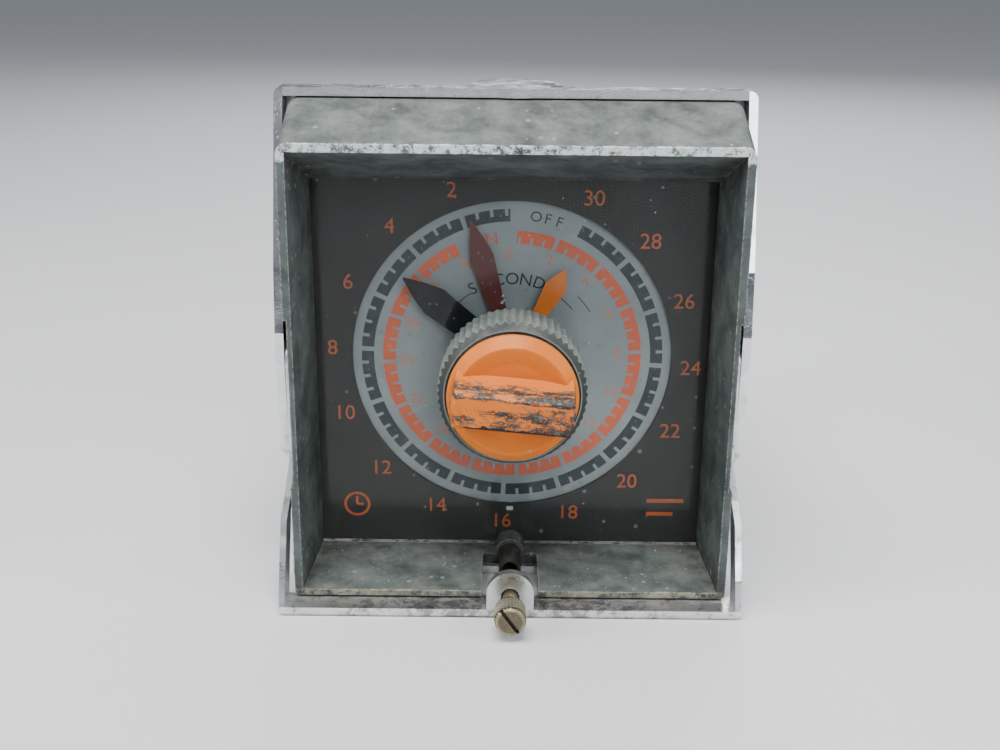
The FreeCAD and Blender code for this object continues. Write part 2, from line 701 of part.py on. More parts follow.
def armature_pin():
    """Hinge pin with its two lugs and the strip that joins them under the coil."""
    low = CLUTCH_Z - 13.5
    pin = hinge_rod(0.75, 24.6)
    lug = block(CLUTCH_X - 12.3, CLUTCH_X - 11.2, ARMATURE_DEPTH - 0.8, 50.5, low - 1.8, low + 3)
    other = lug.copy()
    other.translate(V(23.5, 0, 0))
    link = block(CLUTCH_X - 12.3, CLUTCH_X + 12.3, 49.0, 50.5, low - 1.8, low - 0.3)
    strap = block(CLUTCH_X - 9, CLUTCH_X + 9, 49.0, BACK_PLATE_DEPTH, low - 1.8, low - 0.05)
    return pin.fuse([lug, other, link, strap]).removeSplitter()


def armature_spring():
    """Tension spring from the front plate to the armature, as the sleeve that its coils fill."""
    return pipe(2.0, 1.5, 32.1, ARMATURE_DEPTH - 0.05, CLUTCH_X - 4.0, CLUTCH_Z + 4.0)


def snap_switch(side):
    low = 19.5 if side > 0 else -31.5
    body = block(low, low + 12, TRIP_DEPTH - 3.5, TRIP_DEPTH + 3.5, 44.0, 59.0)
    for z in (46.5, 56.5):
        body = body.cut(rod(1.1, 50, 65, low + 8 if side > 0 else low + 4, z))
    guide = Part.makeCylinder(1.3, 4, V(side * 19.0, at(TRIP_DEPTH), AXIS_Z), V(side, 0, 0))
    return body.cut(guide)


def switch_plunger(side):
    return Part.makeCylinder(1.2, 3.6, V(side * 17.4, at(TRIP_DEPTH), AXIS_Z), V(side, 0, 0))


def switch_brackets():
    right = block(22.0, 31.0, TRIP_DEPTH + 3.5, BACK_PLATE_DEPTH, 44.5, 58.5)
    return both_sides(right)


def plug_block():
    body = block(-PLUG_HALF, PLUG_HALF, PLUG_DEPTH, PLUG_DEPTH + PLUG_T, PLUG_LOW, PLUG_HIGH)
    for z in BLADE_Z:
        for x in BLADE_X:
            body = body.cut(block(x - 0.4, x + 0.4, 80, 100, z - 2.2, z + 2.2))
    return body


def plug_blades():
    blades = []
    for z in BLADE_Z:
        for x in BLADE_X:
            blades.append(block(x - 0.4, x + 0.4, PLUG_DEPTH - 3, 100.5, z - 2.2, z + 2.2))
    return Part.makeCompound(blades)


def plug_posts():
    posts = []
    for x in (-30.5, 30.5):
        for z in (27.0, 42.5):
            posts.append(rod(2.2, BACK_PLATE_DEPTH + PLATE_T, PLUG_DEPTH, x, z))
    return Part.makeCompound(posts)


# ---------------------------------------------------------------- case
def case_shell():
    inner = CASE_HALF - CASE_WALL
    front = FLANGE_DEPTH + FLANGE_T
    shell = block(-CASE_HALF, CASE_HALF, front, SHELL_BACK, CASE_LOW, CASE_HIGH)

    def long_edge(centre, direction):
        return abs(direction.y) > 0.9

    shell = rounded(shell, 2.5, long_edge)
    space = block(-inner, inner, 0, SHELL_BACK - 2, CASE_LOW + 2, CASE_HIGH - 2)
    shell = shell.cut(space)
    shell = shell.cut(block(-31, 31, 90, 110, BLADE_Z[0] - 4, BLADE_Z[1] + 4))
    for step in range(VENTS):
        z = VENT_LOW + VENT_STEP * step
        slit = block(inner - 1, CASE_HALF + 1, 60, 92, z, z + VENT_HEIGHT)
        shell = shell.cut(both_sides(slit))
    return shell


def case_flange():
    flange = block(-FLANGE_HALF, FLANGE_HALF, FLANGE_DEPTH, FLANGE_DEPTH + FLANGE_T, 0, FLANGE_TOP)

    def corner(centre, direction):
        return abs(direction.y) > 0.9 and centre.z > 50

    flange = rounded(flange, 3.0, corner)
    inner = CASE_HALF - CASE_WALL
    flange = flange.cut(block(-inner, inner, 0, 60, CASE_LOW + 2, CASE_HIGH - 2))
    for x in (-FLANGE_HOLE_X, FLANGE_HOLE_X):
        for z in FLANGE_HOLE_Z:
            flange = flange.cut(rod(FLANGE_HOLE_R, 20, 40, x, z))
    return flange


def panel_gasket():
    low = SURROUND_BACK
    ring = block(-52.0, 52.0, low, low + GASKET_T, 0.4, 112.3)
    return ring.cut(block(-49.9, 49.9, 0, 60, 3.0, 109.5))


def guide_rails():
    rail = block(RAIL_HALF_IN, CASE_HALF - CASE_WALL, 34.0, 100.0, RAIL_LOW, RAIL_HIGH)
    groove = block(RAIL_HALF_IN - 1, RAIL_HALF_IN + 1.8, 0, 200, RAIL_LOW + 2, RAIL_HIGH - 2)
    return both_sides(rail.cut(groove))


def socket_block():
    body = block(-PLUG_HALF + 2, PLUG_HALF - 2, SOCKET_DEPTH, 104.0, PLUG_LOW + 2, PLUG_HIGH - 2)
    body = body.fuse(block(-30.7, 30.7, 103, SHELL_BACK, BLADE_Z[0] - 3.7, BLADE_Z[1] + 3.7))
    for z in BLADE_Z:
        for x in BLADE_X:
            body = body.cut(block(x - 1.0, x + 1.0, SOCKET_DEPTH - 1, 102.4, z - 2.6, z + 2.6))
            body = body.cut(block(x - 1.0, x + 1.0, 102, 110, z - 0.8, z + 0.8))
    return body


def socket_contacts():
    """Folded leaf contacts that a blade slides between, each with a tail to its terminal."""
    contacts = []
    for z in BLADE_Z:
        for x in BLADE_X:
            body = block(x - 0.95, x + 0.95, SOCKET_DEPTH + 1, 102.2, z - 2.0, z + 2.0)
            body = body.cut(block(x - 0.5, x + 0.5, 90, 101.2, z - 3, z + 3))
            tail = block(x - 0.4, x + 0.4, 101.5, TERMINAL_DEPTH + 0.1, z - 0.7, z + 0.7)
            contacts.append(body.fuse(tail))
    return Part.makeCompound(contacts)


def terminal_block():
    """Rear moulding with a barrier between terminals; its skirt reaches the standing surface."""
    back = TERMINAL_DEPTH + TERMINAL_T
    body = block(-38, 38, TERMINAL_DEPTH + 0.1, back, 0, 60)
    for x in [-30.0 + 10.0 * step for step in range(7)]:
        for z in TERMINAL_Z:
            body = body.fuse(block(x - 0.9, x + 0.9, back, back + 6.0, z - 8.5, z + 8.5))
    body = body.fuse(block(-30, 30, back, back + 3.0, 27, 39))
    for x, z in terminal_places():
        body = body.cut(rod(1.7, TERMINAL_DEPTH + 1, 130, x, z))
    for x in (-FIXING_X, FIXING_X):
        for z in FIXING_Z:
            body = body.cut(rod(1.7, 100, 130, x, z))
    return body


def terminal_places():
    return [(x, z) for z in TERMINAL_Z for x in BLADE_X]


def terminal_plates():
    plates = []
    back = TERMINAL_DEPTH + TERMINAL_T
    for x, z in terminal_places():
        plate = block(x - 3.9, x + 3.9, back, back + 0.8, z - 5.5, z + 5.5)
        plates.append(plate.cut(rod(1.7, 100, 130, x, z)))
    return Part.makeCompound(plates)


def terminal_screws():
    screws = []
    seat = TERMINAL_DEPTH + TERMINAL_T + 0.8
    for x, z in terminal_places():
        shank = rod(1.6, TERMINAL_DEPTH + 1.5, seat, x, z)
        head = [(0, seat), (3.3, seat), (3.3, seat + 1.3), (2.4, seat + 2.1), (0, seat + 2.1)]
        slot = block(x - 4, x + 4, seat + 1.1, seat + 4, z - 0.4, z + 0.4)
        turn = (x * 7.0 + z * 3.0) % 180
        screws.append(shank.fuse(turned(head, x, z)).cut(spun(slot, turn, x, z)))
    return Part.makeCompound(screws)


def terminal_fixings():
    """Two pairs of screws that hold the terminal block on the case."""
    screws = []
    seat = TERMINAL_DEPTH + TERMINAL_T
    for x in (-FIXING_X, FIXING_X):
        for z in FIXING_Z:
            shank = rod(1.6, SHELL_BACK + 0.05, seat, x, z)
            head = rod(3.0, seat, seat + 1.8, x, z)
            slot = block(x - 4, x + 4, seat + 0.9, seat + 3, z - 0.4, z + 0.4)
            screws.append(shank.fuse(head).cut(slot))
    return Part.makeCompound(screws)


def main():
    os.makedirs("parts", exist_ok=True)
    makers = [hood_bezel, trim_frame, bezel_screws, window_pane, mask_plate, dial_plate]
    makers += [thumbscrew_insert, bail, bail_rivets, thumbscrew, screw_clip]
    makers += [off_knob, off_tube, off_pointer, on_knob, on_shaft, on_pointer, trip_arm]
    makers += [run_pointer, run_tube, run_wheel, drive_pinion, reset_spring]
    makers += [front_plate, back_plate, tube_bush, face_posts, chassis_posts, post_screws]
    makers += [gearbox, drive_motor, clutch_yoke, clutch_coil, clutch_armature, armature_pin]
    makers += [armature_spring, switch_brackets, plug_block, plug_blades, plug_posts]
    makers += [case_shell, case_flange, panel_gasket, guide_rails, socket_block, socket_contacts]
    makers += [terminal_block, terminal_plates, terminal_screws, terminal_fixings]
    for maker in makers:
        save(maker.__name__, maker())
    for name, side in (("right", 1), ("left", -1)):
        save(name + "_switch", snap_switch(side))
        save(name + "_plunger", switch_plunger(side))


main()
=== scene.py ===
# %% [markdown]
# # A worn repeat cycle timer
# The frame holds every machined and moulded piece of the timer at its real place, in metres.
# This lesson gives those pieces their finishes, prints the dial, and adds the small things that
# years on a machine leave behind: chipped paint, scratches and dust. Corners get painted shade.

# %% Load the frame
import bpy
import bmesh
import math
import random
from mathutils import Matrix, Vector
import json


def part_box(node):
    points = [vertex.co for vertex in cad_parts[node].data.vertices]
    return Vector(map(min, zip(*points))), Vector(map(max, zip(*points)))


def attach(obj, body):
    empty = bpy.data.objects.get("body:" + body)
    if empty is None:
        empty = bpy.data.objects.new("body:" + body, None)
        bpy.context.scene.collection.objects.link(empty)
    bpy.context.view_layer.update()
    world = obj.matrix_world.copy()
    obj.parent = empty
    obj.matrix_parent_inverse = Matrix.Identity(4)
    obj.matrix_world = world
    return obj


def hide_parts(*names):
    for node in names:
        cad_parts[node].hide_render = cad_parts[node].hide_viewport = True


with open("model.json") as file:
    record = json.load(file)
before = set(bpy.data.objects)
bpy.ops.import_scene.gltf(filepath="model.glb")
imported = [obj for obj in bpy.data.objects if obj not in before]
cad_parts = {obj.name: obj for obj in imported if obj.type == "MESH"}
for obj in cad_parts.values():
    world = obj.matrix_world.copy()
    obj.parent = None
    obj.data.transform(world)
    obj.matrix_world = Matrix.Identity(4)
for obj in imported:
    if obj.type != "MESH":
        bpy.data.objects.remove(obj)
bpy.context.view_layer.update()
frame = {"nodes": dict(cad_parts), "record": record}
nodes = frame["nodes"]
MM = 0.001

# %% [markdown]
# ## Where things are
# A printed dial, a chip or a speck of dust needs a place on a real surface. All places are worked
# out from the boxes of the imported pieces, so that nothing has to be fitted by eye afterwards.

# %% Reference planes
hood_low, hood_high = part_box("hood_bezel")
dial_low, dial_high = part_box("dial_plate")
mask_low, mask_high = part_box("mask_plate")
pane_low, pane_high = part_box("window_pane")
RIM_Y = hood_low.y
AXIS_Z = (dial_low.z + dial_high.z) / 2
DIAL_Y = dial_low.y
MASK_Y = mask_low.y
PANE_Y = pane_low.y
DIAL_R = 37.6 * MM
print("rim y", round(RIM_Y, 4), "dial y", round(DIAL_Y, 4), "axis z", round(AXIS_Z, 4))

# %% [markdown]
# ## Floor, lights and camera
# The timer stands on a pale floor under soft studio light. One large lamp above gives the bright
# roof and the dark recess under the hood; two weaker lamps fill the sides so that the chrome has
# something to mirror. The camera looks down on the face from a short distance.

# %% Floor
def flat_material(name, colour, roughness):
    material = bpy.data.materials.new(name)
    material.use_nodes = True
    shader = material.node_tree.nodes["Principled BSDF"]
    shader.inputs["Base Color"].default_value = (*colour, 1)
    shader.inputs["Roughness"].default_value = roughness
    return material


def make_floor():
    width = 3.0
    mesh = bpy.data.meshes.new("studio_floor")
    corners = [(-width, -width, 0), (width, -width, 0), (width, width, 0), (-width, width, 0)]
    mesh.from_pydata(corners, [], [(0, 1, 2, 3)])
    floor = bpy.data.objects.new("studio_floor", mesh)
    floor.location.z = -0.0002
    mesh.materials.append(flat_material("studio_floor", (0.62, 0.63, 0.65), 0.55))
    bpy.context.collection.objects.link(floor)


make_floor()

# %% Lights
def area_light(name, place, target, size, watts, colour=(1, 1, 1)):
    lamp = bpy.data.lights.new(name, "AREA")
    lamp.shape = "RECTANGLE"
    lamp.size, lamp.size_y = size
    lamp.energy = watts
    lamp.color = colour
    holder = bpy.data.objects.new(name, lamp)
    holder.location = place
    aim = Vector(target) - Vector(place)
    holder.rotation_euler = aim.to_track_quat("-Z", "Y").to_euler()
    bpy.context.collection.objects.link(holder)


FACE = (0, RIM_Y, AXIS_Z)
area_light("overhead_softbox", (-0.08, -0.22, 0.8), FACE, (0.6, 0.45), 11.0, (1.0, 0.98, 0.95))
area_light("front_fill", (0.25, -0.85, 0.5), FACE, (0.5, 0.4), 3.2, (0.95, 0.98, 1.0))
area_light("left_strip", (-0.55, -0.2, 0.32), FACE, (0.12, 0.4), 2.2)
area_light("right_strip", (0.55, -0.2, 0.32), FACE, (0.12, 0.4), 1.8)
area_light("back_rim", (0.15, 0.8, 0.6), (0, 0.03, 0.05), (0.6, 0.4), 5.0)

world = bpy.data.worlds.new("studio")
bpy.context.scene.world = world
world.use_nodes = True
sky = world.node_tree.nodes
backdrop = sky["Background"]
up = sky.new("ShaderNodeSeparateXYZ")
world.node_tree.links.new(sky.new("ShaderNodeTexCoord").outputs["Generated"], up.inputs[0])
fade = sky.new("ShaderNodeValToRGB")
fade.color_ramp.elements[0].color = (0.3, 0.34, 0.4, 1)
fade.color_ramp.elements[1].color = (0.85, 0.9, 0.96, 1)
fade.color_ramp.elements[1].position = 0.6
world.node_tree.links.new(up.outputs[2], fade.inputs[0])
world.node_tree.links.new(fade.outputs[0], backdrop.inputs["Color"])
backdrop.inputs["Strength"].default_value = 0.36

# %% Camera
CAMERA_DISTANCE = 0.2607
CAMERA_HEIGHT = 0.1471
PITCH_DOWN = 19.2
ROLL = 0.6
LENS_MM = 46.08
camera_data = bpy.data.cameras.new("camera")
camera_data.sensor_width = 36.0
camera_data.lens = LENS_MM
camera_data.clip_start = 0.01
camera = bpy.data.objects.new("camera", camera_data)
camera.location = (-2.8 * MM, RIM_Y - CAMERA_DISTANCE, CAMERA_HEIGHT)
tilt = Matrix.Rotation(math.radians(90 - PITCH_DOWN), 4, "X")
camera.rotation_euler = (tilt @ Matrix.Rotation(math.radians(ROLL), 4, "Z")).to_euler()
bpy.context.collection.objects.link(camera)
bpy.context.scene.camera = camera
print("camera at", [round(v, 4) for v in camera.location])

# %% [markdown]
# ## Shared effects as node groups
# Wear looks the same whatever it is on: edges lose their paint, corners are darkened with painted
# shade, and everything is scratched and dusty. Each effect is a node group made once, and each
# material places it with its own values. Coordinates are turned into millimetres inside the
# groups, so a size of 2 means features about 2 mm apart.

# %% Node helpers
class Net:
    """A short way to add and join shader nodes."""

    def __init__(self, tree):
        self.tree = tree
        self.column = 0

    def add(self, kind, **settings):
        node = self.tree.nodes.new(kind)
        node.location = (self.column * 40, -(self.column % 7) * 120)
        self.column += 1
        for key, value in settings.items():
            setattr(node, key, value)
        return node

    def feed(self, socket, value):
        if isinstance(value, bpy.types.NodeSocket):
            self.tree.links.new(value, socket)
        elif value is not None:
            socket.default_value = value

    def math(self, operation, first, second=None, third=None, clamp=False):
        node = self.add("ShaderNodeMath", operation=operation, use_clamp=clamp)
        for socket, value in zip(node.inputs, (first, second, third)):
            self.feed(socket, value)
        return node.outputs[0]

    def ramp(self, value, low, high, first=0.0, last=1.0):
        node = self.add("ShaderNodeMapRange", interpolation_type="SMOOTHSTEP")
        for socket, item in zip(node.inputs, (value, low, high, first, last)):
            self.feed(socket, item)
        return node.outputs[0]

    def mix(self, factor, first, second, blend="MIX"):
        node = self.add("ShaderNodeMix", data_type="RGBA", blend_type=blend)
        self.feed(node.inputs["Factor"], factor)
        self.feed(node.inputs[6], first)
        self.feed(node.inputs[7], second)
        return node.outputs[2]

    def noise(self, vector, scale, detail=4.0, roughness=0.55, distortion=0.0):
        node = self.add("ShaderNodeTexNoise")
        self.feed(node.inputs["Vector"], vector)
        self.feed(node.inputs["Scale"], scale)
        node.inputs["Detail"].default_value = detail
        node.inputs["Roughness"].default_value = roughness
        node.inputs["Distortion"].default_value = distortion
        return node.outputs["Fac"]


def new_group(name, inputs, outputs):
    tree = bpy.data.node_groups.new(name, "ShaderNodeTree")
    for label, kind, value in inputs:
        socket = tree.interface.new_socket(name=label, in_out="INPUT", socket_type=kind)
        if value is not None:
            socket.default_value = value
    for label, kind in outputs:
        tree.interface.new_socket(name=label, in_out="OUTPUT", socket_type=kind)
    net = Net(tree)
    start = net.add("NodeGroupInput")
    end = net.add("NodeGroupOutput")
    return tree, net, start.outputs, end.inputs


def millimetres(net):
    """Position on the piece in millimetres, which stays with the piece when it moves."""
    place = net.add("ShaderNodeTexCoord").outputs["Object"]
    scale = net.add("ShaderNodeVectorMath", operation="SCALE")
    net.feed(scale.inputs[0], place)
    scale.inputs["Scale"].default_value = 1000.0
    return scale.outputs[0]


FLOAT = "NodeSocketFloat"

# %% Edge wear
def build_edge_wear():
    """White where a rounded normal leaves the true one, broken up by noise."""
    inputs = [("Width mm", FLOAT, 0.5), ("Amount", FLOAT, 0.5), ("Patch mm", FLOAT, 2.0)]
    tree, net, given, out = new_group("edge_wear", inputs, [("Mask", FLOAT)])
    bevel = net.add("ShaderNodeBevel", samples=6)
    radius = net.math("MULTIPLY", given["Width mm"], 0.001)
    net.feed(bevel.inputs["Radius"], radius)
    normal = net.add("ShaderNodeNewGeometry").outputs["Normal"]
    dot = net.add("ShaderNodeVectorMath", operation="DOT_PRODUCT")
    net.feed(dot.inputs[0], bevel.outputs[0])
    net.feed(dot.inputs[1], normal)
    edge = net.math("SUBTRACT", 1.0, dot.outputs["Value"])
    edge = net.math("MULTIPLY", edge, 5.0, clamp=True)
    size = net.math("DIVIDE", 1.0, given["Patch mm"])
    place = millimetres(net)
    coarse = net.noise(place, size, 6.0, 0.68)
    level = net.math("SUBTRACT", 1.0, given["Amount"])
    worn = net.math("ADD", net.math("MULTIPLY", edge, 0.75), net.math("MULTIPLY", coarse, 0.6))
    level = net.math("ADD", net.math("MULTIPLY", level, 0.8), 0.25)
    net.feed(out["Mask"], net.ramp(worn, level, net.math("ADD", level, 0.08)))
    return tree


EDGE_WEAR = build_edge_wear()

# %% Corner shade, painted
def build_grime():
    """Painted shade: white in corners and crevices, found by how much of the sky a point can't see.
    """
    inputs = [("Reach mm", FLOAT, 4.0), ("Amount", FLOAT, 0.6), ("Patch mm", FLOAT, 6.0)]
    tree, net, given, out = new_group("corner_grime", inputs, [("Mask", FLOAT)])
    hidden = net.add("ShaderNodeAmbientOcclusion", samples=6)
    net.feed(hidden.inputs["Distance"], net.math("MULTIPLY", given["Reach mm"], 0.001))
    crevice = net.math("SUBTRACT", 1.0, hidden.outputs["AO"])
    size = net.math("DIVIDE", 1.0, given["Patch mm"])
    patches = net.noise(millimetres(net), size, 7.0, 0.65, 0.3)
    patches = net.ramp(patches, 0.35, 0.65, 0.35, 1.3)
    mask = net.math("MULTIPLY", net.math("MULTIPLY", crevice, patches), given["Amount"])
    net.feed(out["Mask"], net.math("MULTIPLY", mask, 1.6, clamp=True))
    return tree


CORNER_SHADE = build_grime()

# %% Scratches
def build_scratches():
    """Nearly straight fine lines in four directions, cut into short lengths."""
    inputs = [("Length mm", FLOAT, 30.0), ("Spacing mm", FLOAT, 0.8), ("Amount", FLOAT, 0.5)]
    tree, net, given, out = new_group("scratches", inputs, [("Mask", FLOAT)])
    place = millimetres(net)
    total = None
    for turn, shift in ((0.35, 0.0), (1.1, 31.0), (1.9, 77.0), (2.7, 53.0)):
        rotate = net.add("ShaderNodeVectorRotate", rotation_type="EULER_XYZ")
        net.feed(rotate.inputs["Vector"], place)
        rotate.inputs["Rotation"].default_value = (turn * 0.4, turn, turn * 0.7)
        split = net.add("ShaderNodeSeparateXYZ")
        net.feed(split.inputs[0], rotate.outputs[0])
        join = net.add("ShaderNodeCombineXYZ")
        net.feed(join.inputs[0], net.math("DIVIDE", split.outputs[0], given["Length mm"]))
        net.feed(join.inputs[1], net.math("DIVIDE", split.outputs[1], given["Spacing mm"]))
        net.feed(join.inputs[2], net.math("DIVIDE", split.outputs[2], given["Spacing mm"]))
        spread = net.add("ShaderNodeVectorMath", operation="ADD")
        net.feed(spread.inputs[0], join.outputs[0])
        spread.inputs[1].default_value = (shift, shift * 0.3, shift * 0.7)
        band = net.noise(spread.outputs[0], 1.0, 0.0, 0.4)
        line = net.math("ABSOLUTE", net.math("SUBTRACT", band, 0.5))
        line = net.ramp(line, 0.005, 0.03, 1.0, 0.0)
        gaps = net.ramp(net.noise(spread.outputs[0], 0.23, 1.0), 0.56, 0.66)
        line = net.math("MULTIPLY", line, gaps)
        total = line if total is None else net.math("MAXIMUM", total, line)
    net.feed(out["Mask"], net.math("MULTIPLY", total, given["Amount"], clamp=True))
    return tree


SCRATCHES = build_scratches()

# %% Dust and mottling
def build_dust():
    """A veil on surfaces that face up, and small separate specks everywhere."""
    inputs = [("Veil", FLOAT, 0.4), ("Specks", FLOAT, 0.5), ("Speck mm", FLOAT, 1.6)]
    tree, net, given, out = new_group("dust", inputs, [("Mask", FLOAT)])
    place = millimetres(net)
    split = net.add("ShaderNodeSeparateXYZ")
    net.feed(split.inputs[0], net.add("ShaderNodeNewGeometry").outputs["Normal"])
    upward = net.ramp(split.outputs[2], 0.1, 0.95)
    cloud = net.ramp(net.noise(place, 0.16, 8.0, 0.7), 0.35, 0.75)
    veil = net.math("MULTIPLY", net.math("MULTIPLY", upward, cloud), given["Veil"])
    cells = net.add("ShaderNodeTexVoronoi", feature="F1")
    net.feed(cells.inputs["Vector"], place)
    net.feed(cells.inputs["Scale"], net.math("DIVIDE", 1.0, given["Speck mm"]))
    size = net.add("ShaderNodeSeparateColor")
    net.feed(size.inputs[0], cells.outputs["Color"])
    reach = net.ramp(size.outputs[0], 0.72, 1.0, 0.0, 0.22)
    inside = net.math("LESS_THAN", cells.outputs["Distance"], reach)
    specks = net.math("MULTIPLY", inside, given["Specks"])
    net.feed(out["Mask"], net.math("MAXIMUM", veil, specks, clamp=True))
    return tree


def build_mottle():
    """Uneven tone: broad clouds with finer clouds inside them, centred on a half."""
    inputs = [("Patch mm", FLOAT, 10.0), ("Contrast", FLOAT, 0.5)]
    tree, net, given, out = new_group("mottle", inputs, [("Tone", FLOAT)])
    place = millimetres(net)
    broad = net.noise(place, net.math("DIVIDE", 1.0, given["Patch mm"]), 8.0, 0.62, 0.4)
    centred = net.math("MULTIPLY", net.math("SUBTRACT", broad, 0.5), given["Contrast"])
    net.feed(out["Tone"], net.math("MULTIPLY_ADD", centred, 2.0, 0.5, clamp=True))
    return tree


def build_grain():
    """Height of a fine cast, sprayed or moulded skin."""
    inputs = [("Grain mm", FLOAT, 0.4)]
    tree, net, given, out = new_group("grain", inputs, [("Height", FLOAT)])
    fine = net.noise(millimetres(net), net.math("DIVIDE", 1.0, given["Grain mm"]), 3.0, 0.6)
    net.feed(out["Height"], fine)
    return tree


def build_flecks():
    """Small irregular spots where a coat has come away, in clusters."""
    inputs = [("Fleck mm", FLOAT, 1.5), ("Amount", FLOAT, 0.3)]
    tree, net, given, out = new_group("flecks", inputs, [("Mask", FLOAT)])
    place = millimetres(net)
    fine = net.noise(place, net.math("DIVIDE", 1.0, given["Fleck mm"]), 5.0, 0.75)
    cluster = net.noise(place, net.math("DIVIDE", 0.12, given["Fleck mm"]), 3.0, 0.6)
    value = net.math("MULTIPLY_ADD", net.math("SUBTRACT", cluster, 0.5), 0.45, fine)
    level = net.math("SUBTRACT", 0.82, net.math("MULTIPLY", given["Amount"], 0.25))
    net.feed(out["Mask"], net.ramp(value, level, net.math("ADD", level, 0.05)))
    return tree


DUST = build_dust()
FLECKS = build_flecks()
MOTTLE = build_mottle()
GRAIN = build_grain()
print("node groups:", [group.name for group in bpy.data.node_groups])

# %% [markdown]
# ## One recipe for worn finishes
# A worn surface is a stack: the base colour with mottling, scratches through to what is below,
# bare edges, painted shade in the corners and dust on top. A recipe function lays the stack in a
# new material, and each finish passes its own colours and amounts. Bump comes from the same
# masks, so a chip is lower than the paint round it.

# %% Worn finish
def use(net, tree, **values):
    node = net.add("ShaderNodeGroup")
    node.node_tree = tree
    for label, value in values.items():
        net.feed(node.inputs[label.replace("_", " ")], value)
    return node.outputs[0]


def rgba(colour):
    return (*colour, 1.0)


# The arguments for the corner mask (its amount, its reach in mm and its colour) set painted shade in
# corners and crevices.
def worn_finish(name, colour, dark=None, under=(0.5, 0.5, 0.48), shade_colour=(0.03, 0.028, 0.022),
                dust=(0.42, 0.42, 0.39), rough=0.5, under_rough=0.35, metal=0.0, under_metal=0.0,
                patch=9.0, contrast=0.5, edge=0.0, edge_mm=0.5, edge_patch=1.6, scratch=0.3,
                scratch_mm=30.0, grime=0.4, grime_mm=5.0, veil=0.3, specks=0.3, speck_mm=1.8,
                grain_mm=0.4, grain=0.1, coat=0.0, fleck=0.0, fleck_mm=1.5, gloss=0.5,
                special=None):
    material = bpy.data.materials.new(name)
    material.use_nodes = True
    net = Net(material.node_tree)
    shader = material.node_tree.nodes["Principled BSDF"]
    tone = use(net, MOTTLE, Patch_mm=patch, Contrast=contrast)
    dark = dark or tuple(0.55 * part for part in colour)
    base = net.mix(tone, rgba(dark), rgba(colour))
    lines = use(net, SCRATCHES, Length_mm=scratch_mm, Spacing_mm=scratch_mm * 0.025, Amount=scratch)
    base = net.mix(lines, base, rgba(under))
    bare = None
    if edge > 0:
        bare = use(net, EDGE_WEAR, Width_mm=edge_mm, Amount=edge, Patch_mm=edge_patch)
        base = net.mix(bare, base, rgba(under))
    if fleck > 0:
        spots = use(net, FLECKS, Fleck_mm=fleck_mm, Amount=fleck)
        base = net.mix(spots, base, rgba(under))
    if special:
        base = special(net, base)
    # Painted shade: corners and crevices are darkened towards a near-black colour by the occlusion
    # mask.
    crevice_shade_mask = use(net, CORNER_SHADE, Reach_mm=grime_mm, Amount=grime, Patch_mm=5.0)
    base = net.mix(crevice_shade_mask, base, rgba(shade_colour))
    powder = use(net, DUST, Veil=veil, Specks=specks, Speck_mm=speck_mm)
    base = net.mix(powder, base, rgba(dust))
    net.feed(shader.inputs["Base Color"], base)
    shine = net.ramp(tone, 0.0, 1.0, min(rough + 0.12, 1.0), max(rough - 0.08, 0.05))
    if bare is not None:
        shine = net.math("ADD", net.math("MULTIPLY", shine, net.math("SUBTRACT", 1.0, bare)),
                         net.math("MULTIPLY", bare, under_rough))
    cover = net.math("MAXIMUM", crevice_shade_mask, powder)
    shine = net.math("MULTIPLY_ADD", cover, 0.4, shine, clamp=True)
    net.feed(shader.inputs["Roughness"], shine)
    if metal != under_metal and bare is not None:
        bright = net.math("MULTIPLY_ADD", bare, under_metal - metal, metal)
        uncovered = net.math("SUBTRACT", 1.0, cover)
        net.feed(shader.inputs["Metallic"], net.math("MULTIPLY", bright, uncovered))
    elif metal > 0:
        clean = net.math("MULTIPLY", net.math("SUBTRACT", 1.0, cover), metal, clamp=True)
        net.feed(shader.inputs["Metallic"], clean)
    height = net.math("MULTIPLY", use(net, GRAIN, Grain_mm=grain_mm), grain)
    height = net.math("SUBTRACT", height, net.math("MULTIPLY", lines, 0.25))
    if bare is not None:
        height = net.math("SUBTRACT", height, net.math("MULTIPLY", bare, 0.6))
    height = net.math("MULTIPLY_ADD", cover, 0.3, height)
    bump = net.add("ShaderNodeBump")
    bump.inputs["Strength"].default_value = 0.55
    bump.inputs["Distance"].default_value = 0.00015
    net.feed(bump.inputs["Height"], height)
    net.feed(shader.inputs["Normal"], bump.outputs[0])
    shader.inputs["Specular IOR Level"].default_value = gloss
    shader.inputs["Coat Weight"].default_value = coat
    shader.inputs["Coat Roughness"].default_value = 0.15
    return material


# %% [markdown]
# ## Finishes of the face
# The hood is cast metal under a thin grey-olive paint that has gone through on its front edges.
# The surround and the bail are chromed strip: bright, but scratched and grimy near the screw. The
# mask and dial are painted plates that have stayed cleaner behind the window.

# %% Where wear sits on a piece
def parts_of(net, vector):
    split = net.add("ShaderNodeSeparateXYZ")
    net.feed(split.inputs[0], vector)
    return split.outputs


def normal_parts(net):
    return parts_of(net, net.add("ShaderNodeNewGeometry").outputs["Normal"])


